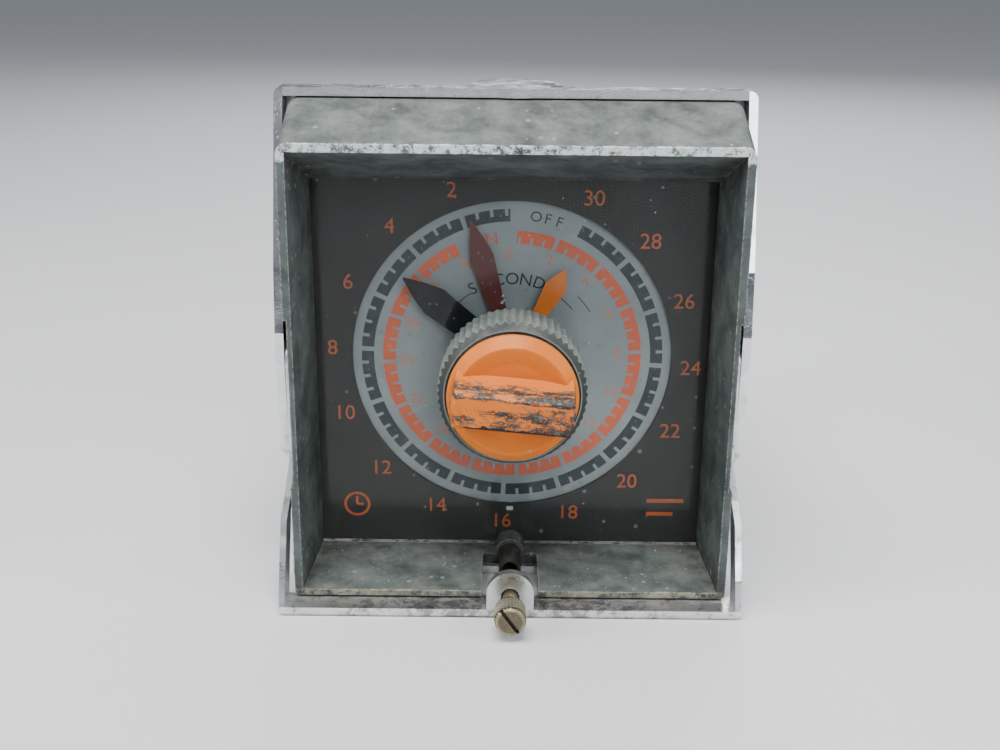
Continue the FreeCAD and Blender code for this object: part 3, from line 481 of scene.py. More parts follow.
def hood_rim_wear(net, base):
    """The front rim is knocked most: its paint has gone in ragged patches down to pale metal."""
    place = millimetres(net)
    depth = net.math("SUBTRACT", parts_of(net, place)[1], RIM_Y / MM)
    height = parts_of(net, place)[2]
    top_and_sill = net.math("MAXIMUM", net.ramp(height, 100.0, 103.0), net.ramp(height, 6.0, 3.5))
    near = net.math("MULTIPLY", net.ramp(depth, 0.05, 1.7, 1.0, 0.0),
                    net.math("MULTIPLY_ADD", top_and_sill, 0.75, 0.25))
    ragged = net.noise(place, 0.55, 9.0, 0.72)
    fine = net.noise(place, 2.4, 4.0, 0.6)
    value = net.math("ADD", net.math("MULTIPLY", near, 0.36), net.math("MULTIPLY", ragged, 0.62))
    value = net.math("MULTIPLY_ADD", fine, 0.24, value)
    bare = net.ramp(value, 0.72, 0.82)
    low = net.ramp(height, 8.0, 14.0, 1.0, 0.0)
    pale = net.mix(low, (0.55, 0.6, 0.6, 1), (0.33, 0.31, 0.24, 1))
    stain = net.ramp(net.noise(place, 0.22, 6.0, 0.7), 0.5, 0.68, 0.0, 0.5)
    base = net.mix(stain, base, (0.044, 0.055, 0.052, 1))
    return net.mix(bare, base, pale)


# %% Face finishes
finish = {}


def keep(slot_name, material):
    finish[slot_name] = material


keep("hood_grey", worn_finish(
    "hood_paint", gloss=0.26, colour=(0.102, 0.126, 0.12), dark=(0.028, 0.036, 0.035),
    under=(0.42, 0.43, 0.4),
    rough=0.55, under_rough=0.42, patch=9.0, contrast=1.2, edge=0.05, edge_mm=0.8,
    edge_patch=0.9, scratch=0.1, grime=0.8, grime_mm=7.0, veil=0.25, specks=0.4, speck_mm=2.6,
    grain=0.6, grain_mm=0.5, fleck=0.3, fleck_mm=1.1, special=hood_rim_wear))
keep("mask_black", worn_finish(
    "mask_paint", gloss=0.08, colour=(0.026, 0.03, 0.032), dark=(0.014, 0.017, 0.018),
    rough=0.6, patch=16.0, scratch=0.0, grime=0.3, veil=0.0, specks=0.25, speck_mm=2.6, grain=0.02))
keep("dial_grey", worn_finish(
    "dial_paint", gloss=0.2, colour=(0.25, 0.285, 0.295), dark=(0.15, 0.175, 0.185),
    rough=0.5, patch=17.0,
    contrast=0.7, scratch=0.0, grime=0.3, grime_mm=3.0, veil=0.0, specks=0.15, speck_mm=2.8,
    grain=0.05))
keep("pointer_black", worn_finish(
    "pointer_black_enamel", gloss=0.05, colour=(0.007, 0.011, 0.014), under=(0.3, 0.3, 0.3),
    rough=0.45, patch=5.0,
    scratch=0.0, grime=0.1, veil=0.0, specks=0.6, speck_mm=0.8, grain=0.2))
keep("pointer_orange", worn_finish(
    "pointer_orange_enamel", gloss=0.2, colour=(0.72, 0.19, 0.02), dark=(0.55, 0.13, 0.014),
    rough=0.5, patch=6.0,
    scratch=0.0, grime=0.1, veil=0.0, specks=0.15, grain=0.1))
keep("pointer_maroon", worn_finish(
    "pointer_maroon_enamel", gloss=0.15, colour=(0.115, 0.03, 0.027), dark=(0.07, 0.018, 0.017),
    rough=0.5, patch=5.0, scratch=0.0, grime=0.1, veil=0.0, specks=0.35, speck_mm=1.0, grain=0.15))

# %% [markdown]
# ## Knobs
# Fingers leave two kinds of mark. On the ring knob they leave the crowns pale; the gaps between
# the ridges and the flat front are darkened as painted shade. On the bar knob a tool has been
# used: the grip is scuffed grey and black along its top edge, cut with slanting scratches on its
# front, and chipped in a ragged line below. The marks are laid out in the knob's own directions,
# along the bar and up from its middle.

# %% Knob finishes
def ring_annulus(net, base):
    """The flat front of the ring is darkened with painted shade, chosen by the way its faces point.
    """
    facing = net.math("MULTIPLY", normal_parts(net)[1], -1.0)
    front = net.ramp(facing, 0.25, 0.5)
    # Painted shade on the faces that look forward.
    base = net.mix(net.math("MULTIPLY", front, 0.9), base, (0.022, 0.027, 0.026, 1))
    place = millimetres(net)
    x, _, z = parts_of(net, place)
    up = net.math("SUBTRACT", z, AXIS_Z / MM)
    radius = net.math("ADD", net.math("MULTIPLY", x, x), net.math("MULTIPLY", up, up))
    lip = net.math("MULTIPLY", net.ramp(radius, 15.15 ** 2, 15.05 ** 2), front)
    base = net.mix(net.math("MULTIPLY", lip, 0.6), base, (0.3, 0.33, 0.31, 1))
    crown = net.ramp(net.noise(place, 0.9, 6.0, 0.7), 0.56, 0.66, 0.0, 0.55)
    side = net.math("SUBTRACT", 1.0, front)
    return net.mix(net.math("MULTIPLY", crown, side), base, (0.36, 0.41, 0.385, 1))


BAR_TILT = 5.0


def bar_coordinates(net):
    """Millimetres along the bar, forward of the rim, and up from the knob's middle."""
    move = net.add("ShaderNodeVectorMath", operation="SUBTRACT")
    net.feed(move.inputs[0], millimetres(net))
    move.inputs[1].default_value = (0.0, RIM_Y / MM, AXIS_Z / MM)
    turn = net.add("ShaderNodeVectorRotate", rotation_type="Y_AXIS")
    net.feed(turn.inputs["Vector"], move.outputs[0])
    turn.inputs["Angle"].default_value = math.radians(-BAR_TILT)
    return turn.outputs[0]


def stretched(net, vector, x, y, z):
    scale = net.add("ShaderNodeVectorMath", operation="MULTIPLY")
    net.feed(scale.inputs[0], vector)
    scale.inputs[1].default_value = (x, y, z)
    return scale.outputs[0]


def grip_damage(net, base):
    place = bar_coordinates(net)
    along, forward, up = parts_of(net, place)
    on_grip = net.ramp(forward, -6.5, -5.0, 1.0, 0.0)
    coarse = net.noise(stretched(net, place, 0.16, 0.5, 0.45), 1.0, 9.0, 0.72)
    fine = net.noise(stretched(net, place, 0.9, 1.6, 2.6), 1.0, 6.0, 0.8)
    value = net.math("MULTIPLY_ADD", fine, 0.55, net.math("MULTIPLY", coarse, 0.6))
    top_band = net.math("MULTIPLY", net.ramp(up, 1.9, 2.7), net.ramp(up, 5.2, 4.2))
    front_band = net.math("MULTIPLY", net.ramp(up, -4.6, -3.4), net.ramp(up, 1.4, 0.2))
    right = net.ramp(along, -11.0, 4.0, 0.0, 0.06)
    front_level = net.math("MULTIPLY_ADD", front_band, 0.075, right)
    lift = net.math("MAXIMUM", net.math("MULTIPLY", top_band, 0.14), front_level)
    scuffed = net.ramp(net.math("ADD", value, lift), 0.675, 0.7)
    scuffed = net.math("MULTIPLY", scuffed, on_grip)
    grey = net.mix(net.ramp(fine, 0.5, 0.68), (0.028, 0.026, 0.024, 1), (0.24, 0.22, 0.2, 1))
    base = net.mix(scuffed, base, grey)
    slant = net.add("ShaderNodeVectorRotate", rotation_type="Y_AXIS")
    net.feed(slant.inputs["Vector"], place)
    slant.inputs["Angle"].default_value = math.radians(-52)
    lines = net.noise(stretched(net, slant.outputs[0], 0.14, 0.2, 2.4), 1.0, 2.0, 0.5)
    lines = net.ramp(net.math("ABSOLUTE", net.math("SUBTRACT", lines, 0.5)), 0.004, 0.02, 1.0, 0.0)
    lines = net.math("MULTIPLY", net.math("MULTIPLY", lines, on_grip), front_band)
    base = net.mix(net.math("MULTIPLY", lines, 0.75), base, (0.06, 0.035, 0.025, 1))
    ragged = net.noise(stretched(net, place, 0.45, 0.2, 0.2), 1.0, 7.0, 0.75)
    edge = net.math("MULTIPLY_ADD", net.math("SUBTRACT", ragged, 0.5), 3.0, -3.45)
    crack = net.ramp(net.math("SUBTRACT", up, edge), -0.1, 0.15, 1.0, 0.0)
    crack = net.math("MULTIPLY", net.math("MULTIPLY", crack, on_grip), net.ramp(along, -11.5, -9.0))
    base = net.mix(crack, base, (0.018, 0.016, 0.015, 1))
    rub = net.ramp(net.noise(stretched(net, place, 0.7, 1.0, 0.9), 1.0, 8.0, 0.8), 0.62, 0.68)
    above = net.math("MULTIPLY", net.ramp(up, 5.5, 7.0), net.ramp(along, -4.0, 3.0))
    rub = net.math("MULTIPLY", rub, above)
    return net.mix(net.math("MULTIPLY", rub, 0.7), base, (0.12, 0.08, 0.06, 1))


keep("ring_knob_grey", worn_finish(
    "ring_knob_plastic", gloss=0.3, colour=(0.2, 0.24, 0.225), dark=(0.1, 0.125, 0.12),
    under=(0.32, 0.36, 0.34),
    rough=0.5, patch=3.0, contrast=1.0, edge=0.3, edge_mm=0.3, edge_patch=0.8, scratch=0.0,
    grime=1.0, grime_mm=1.4, veil=0.2, specks=0.4, speck_mm=1.2, grain=0.3,
    special=ring_annulus))
keep("bar_knob_orange", worn_finish(
    "bar_knob_plastic", gloss=0.18, colour=(0.76, 0.2, 0.018), dark=(0.52, 0.12, 0.012),
    under=(0.2, 0.1, 0.05),
    rough=0.4, under_rough=0.55, patch=8.0, contrast=0.5, scratch=0.12, scratch_mm=9.0,
    grime=0.3, grime_mm=2.5, veil=0.05, specks=0.3, speck_mm=2.0, grain=0.15,
    special=grip_damage))

# %% [markdown]
# ## Bright metal
# Chrome plate on formed strip stays bright on the flats. It dulls where hands reach it, so the bail
# goes blotchy and grey on both sides of its ear, and the ear itself is satin. Brown grime collects
# along the lower edge. The thumbscrew is brass, with dirt packed in its knurl and a rubbed rim.

# %% Bright metal finishes
def bail_handling(net, base):
    """Grey blotches beside the ear, a satin ear, and a brown line along the bottom."""
    place = millimetres(net)
    x, _, z = parts_of(net, place)
    across = net.math("ABSOLUTE", x)
    low = net.ramp(z, 3.0, 9.0, 1.0, 0.0)
    near = net.math("MULTIPLY", net.ramp(across, 46.0, 12.0), low)
    blotch = net.noise(place, 0.3, 9.0, 0.75)
    blotch = net.ramp(net.math("MULTIPLY_ADD", near, 0.1, blotch), 0.54, 0.64)
    base = net.mix(net.math("MULTIPLY", blotch, 0.8), base, (0.24, 0.25, 0.25, 1))
    ear = net.math("MULTIPLY", net.ramp(across, 6.0, 5.2), net.ramp(z, 1.5, 2.4))
    base = net.mix(ear, base, (0.66, 0.68, 0.69, 1))
    brown = net.math("MULTIPLY", net.ramp(z, 0.5, 0.05), net.ramp(blotch, 0.0, 1.0, 0.5, 1.0))
    return net.mix(brown, base, (0.2, 0.12, 0.05, 1))


SCREW_AXIS_Z = 4.9


def from_screw_axis(net):
    """Millimetres from the thumbscrew's middle line."""
    x, _, z = parts_of(net, millimetres(net))
    up = net.math("SUBTRACT", z, SCREW_AXIS_Z)
    return net.math("SQRT", net.math("ADD", net.math("MULTIPLY", x, x), net.math("MULTIPLY", up, up)))


def screw_face(net, base):
    """A dull, stained face inside a rim that is rubbed bright."""
    facing = net.ramp(net.math("MULTIPLY", normal_parts(net)[1], -1.0), 0.8, 0.95)
    radius = from_screw_axis(net)
    middle = net.math("MULTIPLY", facing, net.ramp(radius, 2.75, 2.55))
    stain = net.noise(millimetres(net), 1.3, 6.0, 0.7)
    dull = net.mix(stain, (0.05, 0.047, 0.04, 1), (0.2, 0.17, 0.12, 1))
    return net.mix(net.math("MULTIPLY", middle, 0.9), base, dull)


def knurl_dirt(net, base):
    """Green-black dirt between the points of the knurl, and pale rubbed points."""
    radius = from_screw_axis(net)
    base = net.mix(net.ramp(radius, 3.4, 3.52), (0.03, 0.034, 0.028, 1), base)
    return net.mix(net.ramp(radius, 3.5, 3.58), base, (0.62, 0.58, 0.44, 1))


CHROME = dict(
    dark=(0.66, 0.67, 0.69), under=(0.3, 0.3, 0.3), metal=1.0, under_metal=0.9, rough=0.17,
    under_rough=0.35, patch=6.0, contrast=0.9, scratch=0.35, scratch_mm=25.0, grime=0.45,
    grime_mm=2.0, veil=0.05, specks=0.25, speck_mm=1.6, grain=0.15, grain_mm=1.2)
keep("chrome", worn_finish("chrome_plate", (0.86, 0.88, 0.9), fleck=0.18, fleck_mm=0.8, **CHROME))
bail_finish = worn_finish("bail_plate", (0.86, 0.88, 0.9), fleck=0.22, fleck_mm=0.8,
                          special=bail_handling, **{**CHROME, "rough": 0.3})
BRASS = dict(
    dark=(0.14, 0.13, 0.09), under=(0.9, 0.76, 0.45), metal=1.0, under_metal=1.0, rough=0.4,
    under_rough=0.25, patch=2.0, contrast=1.0, scratch=0.3, scratch_mm=5.0, grime=1.0,
    grime_mm=0.7, veil=0.05, specks=0.3, speck_mm=0.8, grain=0.2, grain_mm=0.2)
keep("brass", worn_finish("thumbscrew_brass", (0.42, 0.35, 0.2), edge=0.3, edge_mm=0.3,
                          edge_patch=0.7, special=screw_face, **BRASS))
keep("brass_knurl", worn_finish("knurled_brass", (0.36, 0.34, 0.24), special=knurl_dirt, **BRASS))

# %% [markdown]
# ## Clear window
# The window is acrylic. Real glass shading is kept, but lamps pass straight through it, because a
# flat pane doesn't focus light. Wipe marks and scratches only change its roughness and normal.
# The index is lower than that of solid acrylic: the pane is too thin for its bending to show, and
# the old surface has lost the clear mirror image that a new one would give of the floor.

# %% Window finish
def window_finish():
    material = bpy.data.materials.new("scuffed_acrylic")
    material.use_nodes = True
    net = Net(material.node_tree)
    shader = material.node_tree.nodes["Principled BSDF"]
    shader.inputs["Transmission Weight"].default_value = 1.0
    shader.inputs["IOR"].default_value = 1.24
    lines = use(net, SCRATCHES, Length_mm=40.0, Spacing_mm=1.3, Amount=0.6)
    smears = use(net, MOTTLE, Patch_mm=24.0, Contrast=0.8)
    haze = net.ramp(smears, 0.45, 0.95, 0.01, 0.06)
    net.feed(shader.inputs["Roughness"], net.math("MULTIPLY_ADD", lines, 0.3, haze, clamp=True))
    bump = net.add("ShaderNodeBump")
    bump.inputs["Strength"].default_value = 0.3
    bump.inputs["Distance"].default_value = 0.00005
    net.feed(bump.inputs["Height"], lines)
    net.feed(shader.inputs["Normal"], bump.outputs[0])
    film = net.ramp(smears, 0.4, 0.9, 0.985, 0.93)
    specks = use(net, DUST, Veil=0.0, Specks=0.5, Speck_mm=3.4)
    cover = net.math("MAXIMUM", specks, net.math("MULTIPLY", lines, 0.35))
    tint = net.mix(net.ramp(film, 0.9, 1.0), (0.86, 0.88, 0.87, 1), (0.96, 0.97, 0.97, 1))
    net.feed(shader.inputs["Base Color"], net.mix(cover, tint, (0.62, 0.64, 0.62, 1)))
    clear = net.add("ShaderNodeBsdfTransparent")
    path = net.add("ShaderNodeLightPath")
    blend = net.add("ShaderNodeMixShader")
    net.feed(blend.inputs[0], path.outputs["Is Shadow Ray"])
    net.feed(blend.inputs[1], shader.outputs[0])
    net.feed(blend.inputs[2], clear.outputs[0])
    net.feed(material.node_tree.nodes["Material Output"].inputs["Surface"], blend.outputs[0])
    return material


keep("window_clear", window_finish())

# %% [markdown]
# ## Finishes of the case and the works
# Behind the panel the timer is plain: wrinkle paint on the case, phenolic mouldings for plug and
# terminals, zinc-plated plates, brass gears. They are seen only from behind or with the module
# pulled out, but they age in the same way, so the same recipe serves.

# %% Case and works finishes
def metal_finish(name, colour, rough, **more):
    values = dict(metal=1.0, under_metal=1.0, under=(0.7, 0.7, 0.68), patch=12.0, contrast=0.45,
                  scratch=0.35, grime=0.35, grime_mm=2.5, veil=0.15, specks=0.15, grain=0.08)
    values.update(more)
    return worn_finish(name, colour, rough=rough, **values)


keep("bright_steel", metal_finish("bright_steel", (0.56, 0.56, 0.55), 0.3))
keep("zinc_plate", metal_finish("zinc_plate", (0.58, 0.6, 0.56), 0.36, dark=(0.42, 0.43, 0.36)))
keep("gear_brass", metal_finish("gear_brass", (0.72, 0.55, 0.25), 0.28))
keep("spring_steel", metal_finish("spring_steel", (0.2, 0.23, 0.32), 0.3))
keep("gearbox_cast", metal_finish("gearbox_cast", (0.42, 0.42, 0.42), 0.5, grain=0.5))
keep("bare_iron", metal_finish("bare_iron", (0.4, 0.38, 0.35), 0.4))
keep("contact_silver", metal_finish("contact_silver", (0.66, 0.61, 0.48), 0.3))
keep("nickel_screw", metal_finish("nickel_screw", (0.62, 0.59, 0.52), 0.3, edge=0.3, edge_mm=0.3))
keep("dark_insert", metal_finish("dark_insert", (0.12, 0.115, 0.1), 0.45, grime=0.9))
keep("motor_can", worn_finish("motor_can_paint", (0.06, 0.08, 0.07), rough=0.4, edge=0.3))
keep("coil_tape", worn_finish("coil_tape", (0.4, 0.2, 0.04), rough=0.35, patch=5.0, grain=0.2))
keep("switch_black", worn_finish("switch_moulding", (0.02, 0.02, 0.021), rough=0.45))
keep("plunger_red", worn_finish("plunger_nylon", (0.4, 0.02, 0.02), rough=0.35))
keep("phenolic_brown", worn_finish("phenolic_brown", (0.1, 0.04, 0.022), rough=0.35, grain=0.1))
keep("phenolic_black", worn_finish(
    "phenolic_black", (0.022, 0.022, 0.024), under=(0.12, 0.11, 0.1), rough=0.32, edge=0.25,
    edge_mm=0.4, patch=12.0, veil=0.35, specks=0.4, grime=0.5, grain=0.1))
keep("gasket_rubber", worn_finish("gasket_neoprene", (0.018, 0.018, 0.019), rough=0.75, grain=0.4))
keep("case_black", worn_finish(
    "case_wrinkle_paint", (0.045, 0.05, 0.054), under=(0.4, 0.4, 0.38), rough=0.55, patch=20.0,
    edge=0.3, edge_mm=0.8, scratch=0.3, scratch_mm=20.0, veil=0.35, grain_mm=0.9, grain=1.6))

# %% Put the finishes on
slot_of = {item["node"]: item["material_slot"] for item in frame["record"]["subparts"]}


def rounded_edges(piece, width, segments=2):
    bevel = piece.modifiers.new("eased edges", "BEVEL")
    bevel.width = width
    bevel.segments = segments
    bevel.limit_method = "ANGLE"
    bevel.angle_limit = math.radians(40)
    bevel.harden_normals = False


for name, piece in nodes.items():
    material = bail_finish if name == "bail" else finish[slot_of[name]]
    piece.data.materials.clear()
    piece.data.materials.append(material)
for name, width in (("hood_bezel", 0.35), ("trim_frame", 0.3), ("bail", 0.3), ("on_knob", 0.3)):
    rounded_edges(nodes[name], width * MM)
print("knob stands at", nodes["on_knob"].matrix_world.to_translation())
print("finishes:", len(finish), "on", len(nodes), "pieces")

# %% [markdown]
# ## Printing the dial
# The scales are silk-screened: bars with short notches, numerals and a few words. Ink has a real
# edge but almost no height, so each print is a thin closed mesh laid on the plate. Bars are built
# from arcs in polar form; the notches are the places where a bar is narrower.

# %% Print helpers
INK = 0.03 * MM


def polar(radius, degrees, y):
    """A point on the face: degrees clockwise from the top as seen from the front."""
    angle = math.radians(degrees)
    return Vector((radius * math.sin(angle), y, AXIS_Z + radius * math.cos(angle)))


def arc_bar(mesh, inner, outer, start, end, y):
    """A closed strip of ink between two radii and two angles."""
    steps = max(1, int(abs(end - start) / 1.5))
    rings = []
    for step in range(steps + 1):
        angle = start + (end - start) * step / steps
        front = [mesh.verts.new(polar(radius, angle, y - INK)) for radius in (inner, outer)]
        back = [mesh.verts.new(polar(radius, angle, y)) for radius in (inner, outer)]
        rings.append(front + back[::-1])
    for first, second in zip(rings, rings[1:]):
        for corner in range(4):
            after = (corner + 1) % 4
            mesh.faces.new((first[corner], first[after], second[after], second[corner]))
    mesh.faces.new(rings[0][::-1])
    mesh.faces.new(rings[-1])


def finish_mesh(name, mesh, material, body="module", smooth=False):
    bmesh.ops.recalc_face_normals(mesh, faces=mesh.faces)
    data = bpy.data.meshes.new(name)
    mesh.to_mesh(data)
    mesh.free()
    data.materials.append(material)
    for polygon in data.polygons:
        polygon.use_smooth = smooth
    piece = bpy.data.objects.new(name, data)
    bpy.context.collection.objects.link(piece)
    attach(piece, body)
    return piece


# %% Ink finishes
def printed_ink(name, colour, dark, under=(0.25, 0.28, 0.29), scratch=0.15, **more):
    """Thin ink, rubbed through here and there to the paint it was printed on."""
    keep(name, worn_finish(
        name, gloss=0.15, colour=colour, dark=dark, under=under, rough=0.5, scratch=scratch,
        grime=0.0, veil=0.0, grain=0.1, **more))


printed_ink("ink_black", (0.028, 0.038, 0.045), (0.018, 0.026, 0.032), specks=0.3, speck_mm=1.0)
printed_ink("ink_orange", (0.58, 0.1, 0.035), (0.4, 0.1, 0.055), specks=0.15, patch=3.0)
printed_ink("ink_orange_faded", (0.5, 0.15, 0.07), (0.36, 0.18, 0.12), specks=0.1, patch=2.0)
printed_ink("ink_numerals", (0.42, 0.1, 0.03), (0.26, 0.06, 0.02), under=(0.05, 0.05, 0.05),
            scratch=0.3, specks=0.2, patch=2.5)

# %% Scale bars
DEGREES_PER_SECOND = 11.25
LAST_SECOND = 30
MAJOR_STEP = 2
ZERO_OFFSET = 2.9        # each zero stands this many degrees beside the top


def scale_bars(name, inner, outer, notch_inner, notch_outer, angle_of, first, material):
    """Bars two seconds long, with three notches each, on one side of the band."""
    mesh = bmesh.new()
    gap = 0.085
    notch = 0.055
    for start in range(0, LAST_SECOND, MAJOR_STEP):
        low = max(start + gap, first)
        high = start + MAJOR_STEP - gap
        cuts = [start + 0.5, start + 1.0, start + 1.5]
        marks = [low]
        for cut in cuts:
            marks += [cut - notch, cut + notch]
        marks.append(high)
        for index, (begin, end) in enumerate(zip(marks, marks[1:])):
            if end - begin < 0.01:
                continue
            in_notch = index % 2 == 1
            low_r = notch_inner if in_notch else inner
            high_r = notch_outer if in_notch else outer
            arc_bar(mesh, low_r, high_r, angle_of(begin), angle_of(end), DIAL_Y)
    print(name, "faces:", len(mesh.faces))
    return finish_mesh(name, mesh, material)


def off_angle(second):
    return ZERO_OFFSET - DEGREES_PER_SECOND * second


def on_angle(second):
    return -ZERO_OFFSET + DEGREES_PER_SECOND * second


scale_bars("off_scale_bars", 0.868 * DIAL_R, 0.945 * DIAL_R, 0.868 * DIAL_R, 0.903 * DIAL_R,
           off_angle, 0.38, finish["ink_black"])
scale_bars("on_scale_bars", 0.73 * DIAL_R, 0.81 * DIAL_R, 0.772 * DIAL_R, 0.81 * DIAL_R,
           on_angle, 0.4, finish["ink_orange"])

# %% Numerals and words
def ink_text(name, items, height, y, material):
    """Upright or turned characters, each (text, x, z, clockwise degrees), joined in one mesh."""
    mesh = bmesh.new()
    for text, x, z, turn in items:
        curve = bpy.data.curves.new(name, "FONT")
        curve.body = text
        curve.align_x = "CENTER"
        curve.align_y = "CENTER"
        curve.size = height / 0.72
        curve.extrude = INK / 2
        curve.resolution_u = 4
        holder = bpy.data.objects.new(name, curve)
        bpy.context.collection.objects.link(holder)
        bpy.context.view_layer.update()
        shape = bpy.data.meshes.new_from_object(holder)
        place = Matrix.Translation((x, y - INK / 2, z))
        place = place @ Matrix.Rotation(math.radians(turn), 4, "Y")
        shape.transform(place @ Matrix.Rotation(math.radians(90), 4, "X"))
        mesh.from_mesh(shape)
        bpy.data.objects.remove(holder)
        bpy.data.meshes.remove(shape)
        bpy.data.curves.remove(curve)
    bmesh.ops.remove_doubles(mesh, verts=mesh.verts, dist=1e-7)
    print(name, "items:", len(items))
    return finish_mesh(name, mesh, material)


def around(text, radius, degrees, turned=False):
    spot = polar(radius, degrees, 0)
    return (text, spot.x, spot.z, degrees if turned else 0.0)


NUMERAL_R = 42.3 * MM
numerals = [around(str(second), NUMERAL_R, off_angle(second)) for second in range(2, 31, MAJOR_STEP)]
ink_text("off_numerals", numerals, 3.7 * MM, MASK_Y, finish["ink_numerals"])
small = [around(str(second), 0.665 * DIAL_R, on_angle(second)) for second in range(0, 31, MAJOR_STEP)]
ink_text("on_numerals", small, 2.5 * MM, DIAL_Y, finish["ink_orange_faded"])
off_word = [around(letter, 0.905 * DIAL_R, 13.2 + 4.6 * (index - 1), True)
            for index, letter in enumerate("OFF")]
ink_text("off_word", off_word, 2.5 * MM, DIAL_Y, finish["ink_black"])
on_word = [around(letter, 0.765 * DIAL_R, -13.0 + 6.0 * (index - 0.5), True)
           for index, letter in enumerate("ON")]
ink_text("on_word", on_word, 2.9 * MM, DIAL_Y, finish["ink_orange"])
seconds_word = [around(letter, 0.505 * DIAL_R, -0.6 + 9.6 * (index - 3), True)
                for index, letter in enumerate("SECONDS")]
ink_text("seconds_word", seconds_word, 2.9 * MM, DIAL_Y, finish["ink_black"])

# %% Lines beside the word, and plain marks in the corners
def fine_lines():
    mesh = bmesh.new()
    line = 0.22 * MM
    for radius, start, end in ((18.2, -50, -32), (18.2, 32, 50), (21.2, 45, 58)):
        arc_bar(mesh, radius * MM, radius * MM + line, start, end, DIAL_Y)
    return finish_mesh("word_lines", mesh, finish["ink_black"])


def quad_bar(mesh, x_low, x_high, z_low, z_high, y):
    corners = [(x_low, z_low), (x_high, z_low), (x_high, z_high), (x_low, z_high)]
    front = [mesh.verts.new((x, y - INK, z)) for x, z in corners]
    back = [mesh.verts.new((x, y, z)) for x, z in corners]
    mesh.faces.new(front)
    mesh.faces.new(back[::-1])
    for index in range(4):
        after = (index + 1) % 4
        mesh.faces.new((front[index], back[index], back[after], front[after]))


def corner_marks():
    """A plain clock sign at lower left and two bars at lower right."""
    mesh = bmesh.new()
    centre = Vector((-37.5 * MM, 0, AXIS_Z - 38.0 * MM))
    steps = 40
    for inner, outer in ((2.6 * MM, 3.2 * MM),):
        ring = []
        for step in range(steps):
            angle = 2 * math.pi * step / steps
            way = Vector((math.sin(angle), 0, math.cos(angle)))
            points = [centre + way * inner, centre + way * outer]
            front = [mesh.verts.new((p.x, MASK_Y - INK, p.z)) for p in points]
            back = [mesh.verts.new((p.x, MASK_Y, p.z)) for p in points]
            ring.append(front + back[::-1])
        for first, second in zip(ring, ring[1:] + ring[:1]):
            for corner in range(4):
                after = (corner + 1) % 4
                mesh.faces.new((first[corner], first[after], second[after], second[corner]))
    thick = 0.3 * MM
    quad_bar(mesh, centre.x - thick, centre.x + thick, centre.z, centre.z + 2.1 * MM, MASK_Y)
    quad_bar(mesh, centre.x, centre.x + 1.6 * MM, centre.z - thick, centre.z + thick, MASK_Y)
    right = 33.5 * MM
    quad_bar(mesh, right, right + 9.0 * MM, AXIS_Z - 36.9 * MM, AXIS_Z - 35.9 * MM, MASK_Y)
    quad_bar(mesh, right, right + 6.5 * MM, AXIS_Z - 40.4 * MM, AXIS_Z - 39.4 * MM, MASK_Y)
    return finish_mesh("corner_marks", mesh, finish["ink_numerals"])


def index_mark():
    """A small pale mark on the mask under the dial."""
    mesh = bmesh.new()
    top = AXIS_Z - 38.3 * MM
    quad_bar(mesh, -0.9 * MM, 0.7 * MM, top - 1.0 * MM, top, MASK_Y)
    return finish_mesh("index_mark", mesh, finish["fleck_pale"])


keep("fleck_pale", worn_finish(
    "fleck_pale", (0.6, 0.62, 0.58), dark=(0.42, 0.43, 0.39), gloss=0.3, rough=0.7, patch=4.0,
    scratch=0.0, grime=0.15, veil=0.0, specks=0.2, speck_mm=0.6, grain=0.1))
fine_lines()
corner_marks()
index_mark()

# %% [markdown]
# ## Diamond knurl on the thumbscrew
# A knurling tool presses two crossing sets of grooves into the head. The sleeve below is a tube
# whose outside follows both sets at once, so it ends up as rows of small pyramids.

# %% Knurl
SCREW_Z = 4.9 * MM


KNURL_RADIUS = 3.42       # millimetres, middle of the diamonds
KNURL_RELIEF = 0.3
KNURL_BORE = 3.1


def about_screw(radius, angle, y):
    return (radius * math.sin(angle), y, SCREW_Z + radius * math.cos(angle))


def knurl_sleeve():
    front, back = RIM_Y - 15.4 * MM, RIM_Y - 10.35 * MM
    around_steps, along_steps = 192, 40
    pitch_count = 32
    mesh = bmesh.new()
    rings = []
    for row in range(along_steps + 1):
        share = row / along_steps
        y = front + (back - front) * share
        fade = min(1.0, 6 * share, 6 * (1 - share))
        ring = []
        for column in range(around_steps):
            angle = 2 * math.pi * column / around_steps
            lead = 2 * math.pi * 7.5 * share
            first = abs(math.sin((pitch_count * angle + lead) / 2))
            second = abs(math.sin((pitch_count * angle - lead) / 2))
            radius = (KNURL_RADIUS + KNURL_RELIEF * fade * (min(first, second) - 0.4)) * MM
            ring.append(mesh.verts.new(about_screw(radius, angle, y)))
        rings.append(ring)
    inner = []
    for y in (back, front):
        ring = []
        for column in range(around_steps):
            angle = 2 * math.pi * column / around_steps
            ring.append(mesh.verts.new(about_screw(KNURL_BORE * MM, angle, y)))
        inner.append(ring)
    loop = rings + inner
    for first_ring, second_ring in zip(loop, loop[1:] + loop[:1]):
        for column in range(around_steps):
            after = (column + 1) % around_steps
            near_edge = (first_ring[column], first_ring[after])
            mesh.faces.new((*near_edge, second_ring[after], second_ring[column]))
    print("knurl faces:", len(mesh.faces))
    return finish_mesh("knurl_diamonds", mesh, finish["brass_knurl"], body="thumbscrew")


knurl_sleeve()

# %% [markdown]
# ## Return spring of the armature
# The frame carries this spring as a sleeve, because its coils would be slow to check. Here it is
# wound for real: a round wire swept along a helix that fits inside the sleeve.

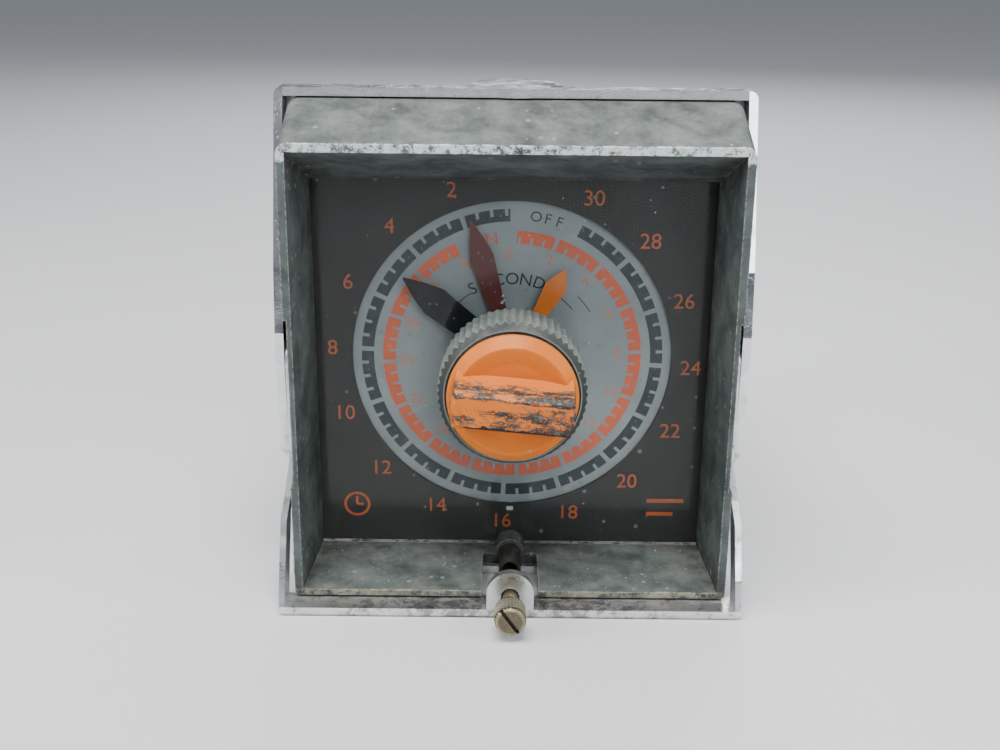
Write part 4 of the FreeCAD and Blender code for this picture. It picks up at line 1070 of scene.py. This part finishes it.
# %% Coil spring
def armature_coil():
    low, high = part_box("armature_spring")
    centre = (low + high) / 2
    wire = 0.22 * MM
    radius = (high.x - low.x) / 2 - wire - 0.02 * MM
    turns, per_turn, sides = 17, 20, 7
    steps = turns * per_turn
    start, length = low.y + wire, (high.y - low.y) - 2 * wire
    mesh = bmesh.new()
    rings = []
    for step in range(steps + 1):
        angle = 2 * math.pi * step / per_turn
        outward = Vector((math.cos(angle), 0, math.sin(angle)))
        middle = Vector((centre.x, start + length * step / steps, centre.z)) + outward * radius
        ring = []
        for side in range(sides):
            turn = 2 * math.pi * side / sides
            offset = outward * math.cos(turn) + Vector((0, 1, 0)) * math.sin(turn)
            ring.append(mesh.verts.new(middle + offset * wire))
        rings.append(ring)
    for first, second in zip(rings, rings[1:]):
        for side in range(sides):
            after = (side + 1) % sides
            mesh.faces.new((first[side], first[after], second[after], second[side]))
    mesh.faces.new(rings[0])
    mesh.faces.new(rings[-1][::-1])
    spring = finish_mesh("armature_coil", mesh, finish["spring_steel"], smooth=True)
    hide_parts("armature_spring")
    print("coil faces:", len(spring.data.polygons))


armature_coil()

# %% [markdown]
# ## Terminal numbers
# Each rear terminal has its number in white ink on the raised strip between the two rows, so that
# the maker's wiring list can be followed. The case body carries them.

# %% Terminal numbers
def terminal_numbers():
    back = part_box("terminal_block")[1].y - 3.0 * MM
    mesh = bmesh.new()
    for index in range(12):
        row, column = divmod(index, 6)
        curve = bpy.data.curves.new("number", "FONT")
        curve.body = str(index + 1)
        curve.align_x, curve.align_y = "CENTER", "CENTER"
        curve.size = 3.6 * MM
        curve.extrude = INK / 2
        holder = bpy.data.objects.new("number", curve)
        bpy.context.collection.objects.link(holder)
        bpy.context.view_layer.update()
        shape = bpy.data.meshes.new_from_object(holder)
        x = (25.0 - 10.0 * column) * MM
        z = (36.3 - 6.6 * row) * MM
        place = Matrix.Translation((x, back + INK / 2, z)) @ Matrix.Rotation(math.pi, 4, "Z")
        shape.transform(place @ Matrix.Rotation(math.radians(90), 4, "X"))
        mesh.from_mesh(shape)
        bpy.data.objects.remove(holder)
        bpy.data.meshes.remove(shape)
        bpy.data.curves.remove(curve)
    return finish_mesh("terminal_numbers", mesh, finish["fleck_pale"], body="case")


terminal_numbers()

# %% [markdown]
# ## Loose flecks
# Grit and flakes of paint lie on the sill and cling to the window. Each is a little crushed
# tetrahedron, so it catches light on one side and throws a small shadow.

# %% Flecks
def loose_flecks():
    rng = random.Random(41)
    mesh = bmesh.new()

    def flake(spot, size):
        corners = []
        for _ in range(5):
            step = [rng.uniform(-size, size) for _ in range(3)]
            corners.append(mesh.verts.new(spot + Vector((step[0], step[1] * 0.35, step[2]))))
        bmesh.ops.convex_hull(mesh, input=corners)

    for _ in range(46):
        spot = Vector((rng.uniform(-44, 44) * MM, PANE_Y - 0.12 * MM, rng.uniform(8, 92) * MM))
        flake(spot, rng.uniform(0.08, 0.26) * MM)
    for _ in range(5):
        spot = polar(rng.uniform(14.5, 16.5) * MM, rng.uniform(-11, -6), PANE_Y - 0.15 * MM)
        flake(spot, 0.42 * MM)
    for _ in range(60):
        depth = rng.uniform(1.5, 20.0)
        floor = 3.8 + depth / 22.5 + 0.12
        side = rng.choice((-1, 1))
        spot = Vector((side * rng.uniform(8, 44) * MM, RIM_Y + depth * MM, floor * MM))
        flake(spot, rng.uniform(0.08, 0.3) * MM)
    loose = [vert for vert in mesh.verts if not vert.link_faces]
    bmesh.ops.delete(mesh, geom=loose, context="VERTS")
    print("fleck faces:", len(mesh.faces))
    return finish_mesh("loose_flecks", mesh, finish["fleck_pale"])


loose_flecks()

# %% [markdown]
# ## End
# compared.

# %% End
import json
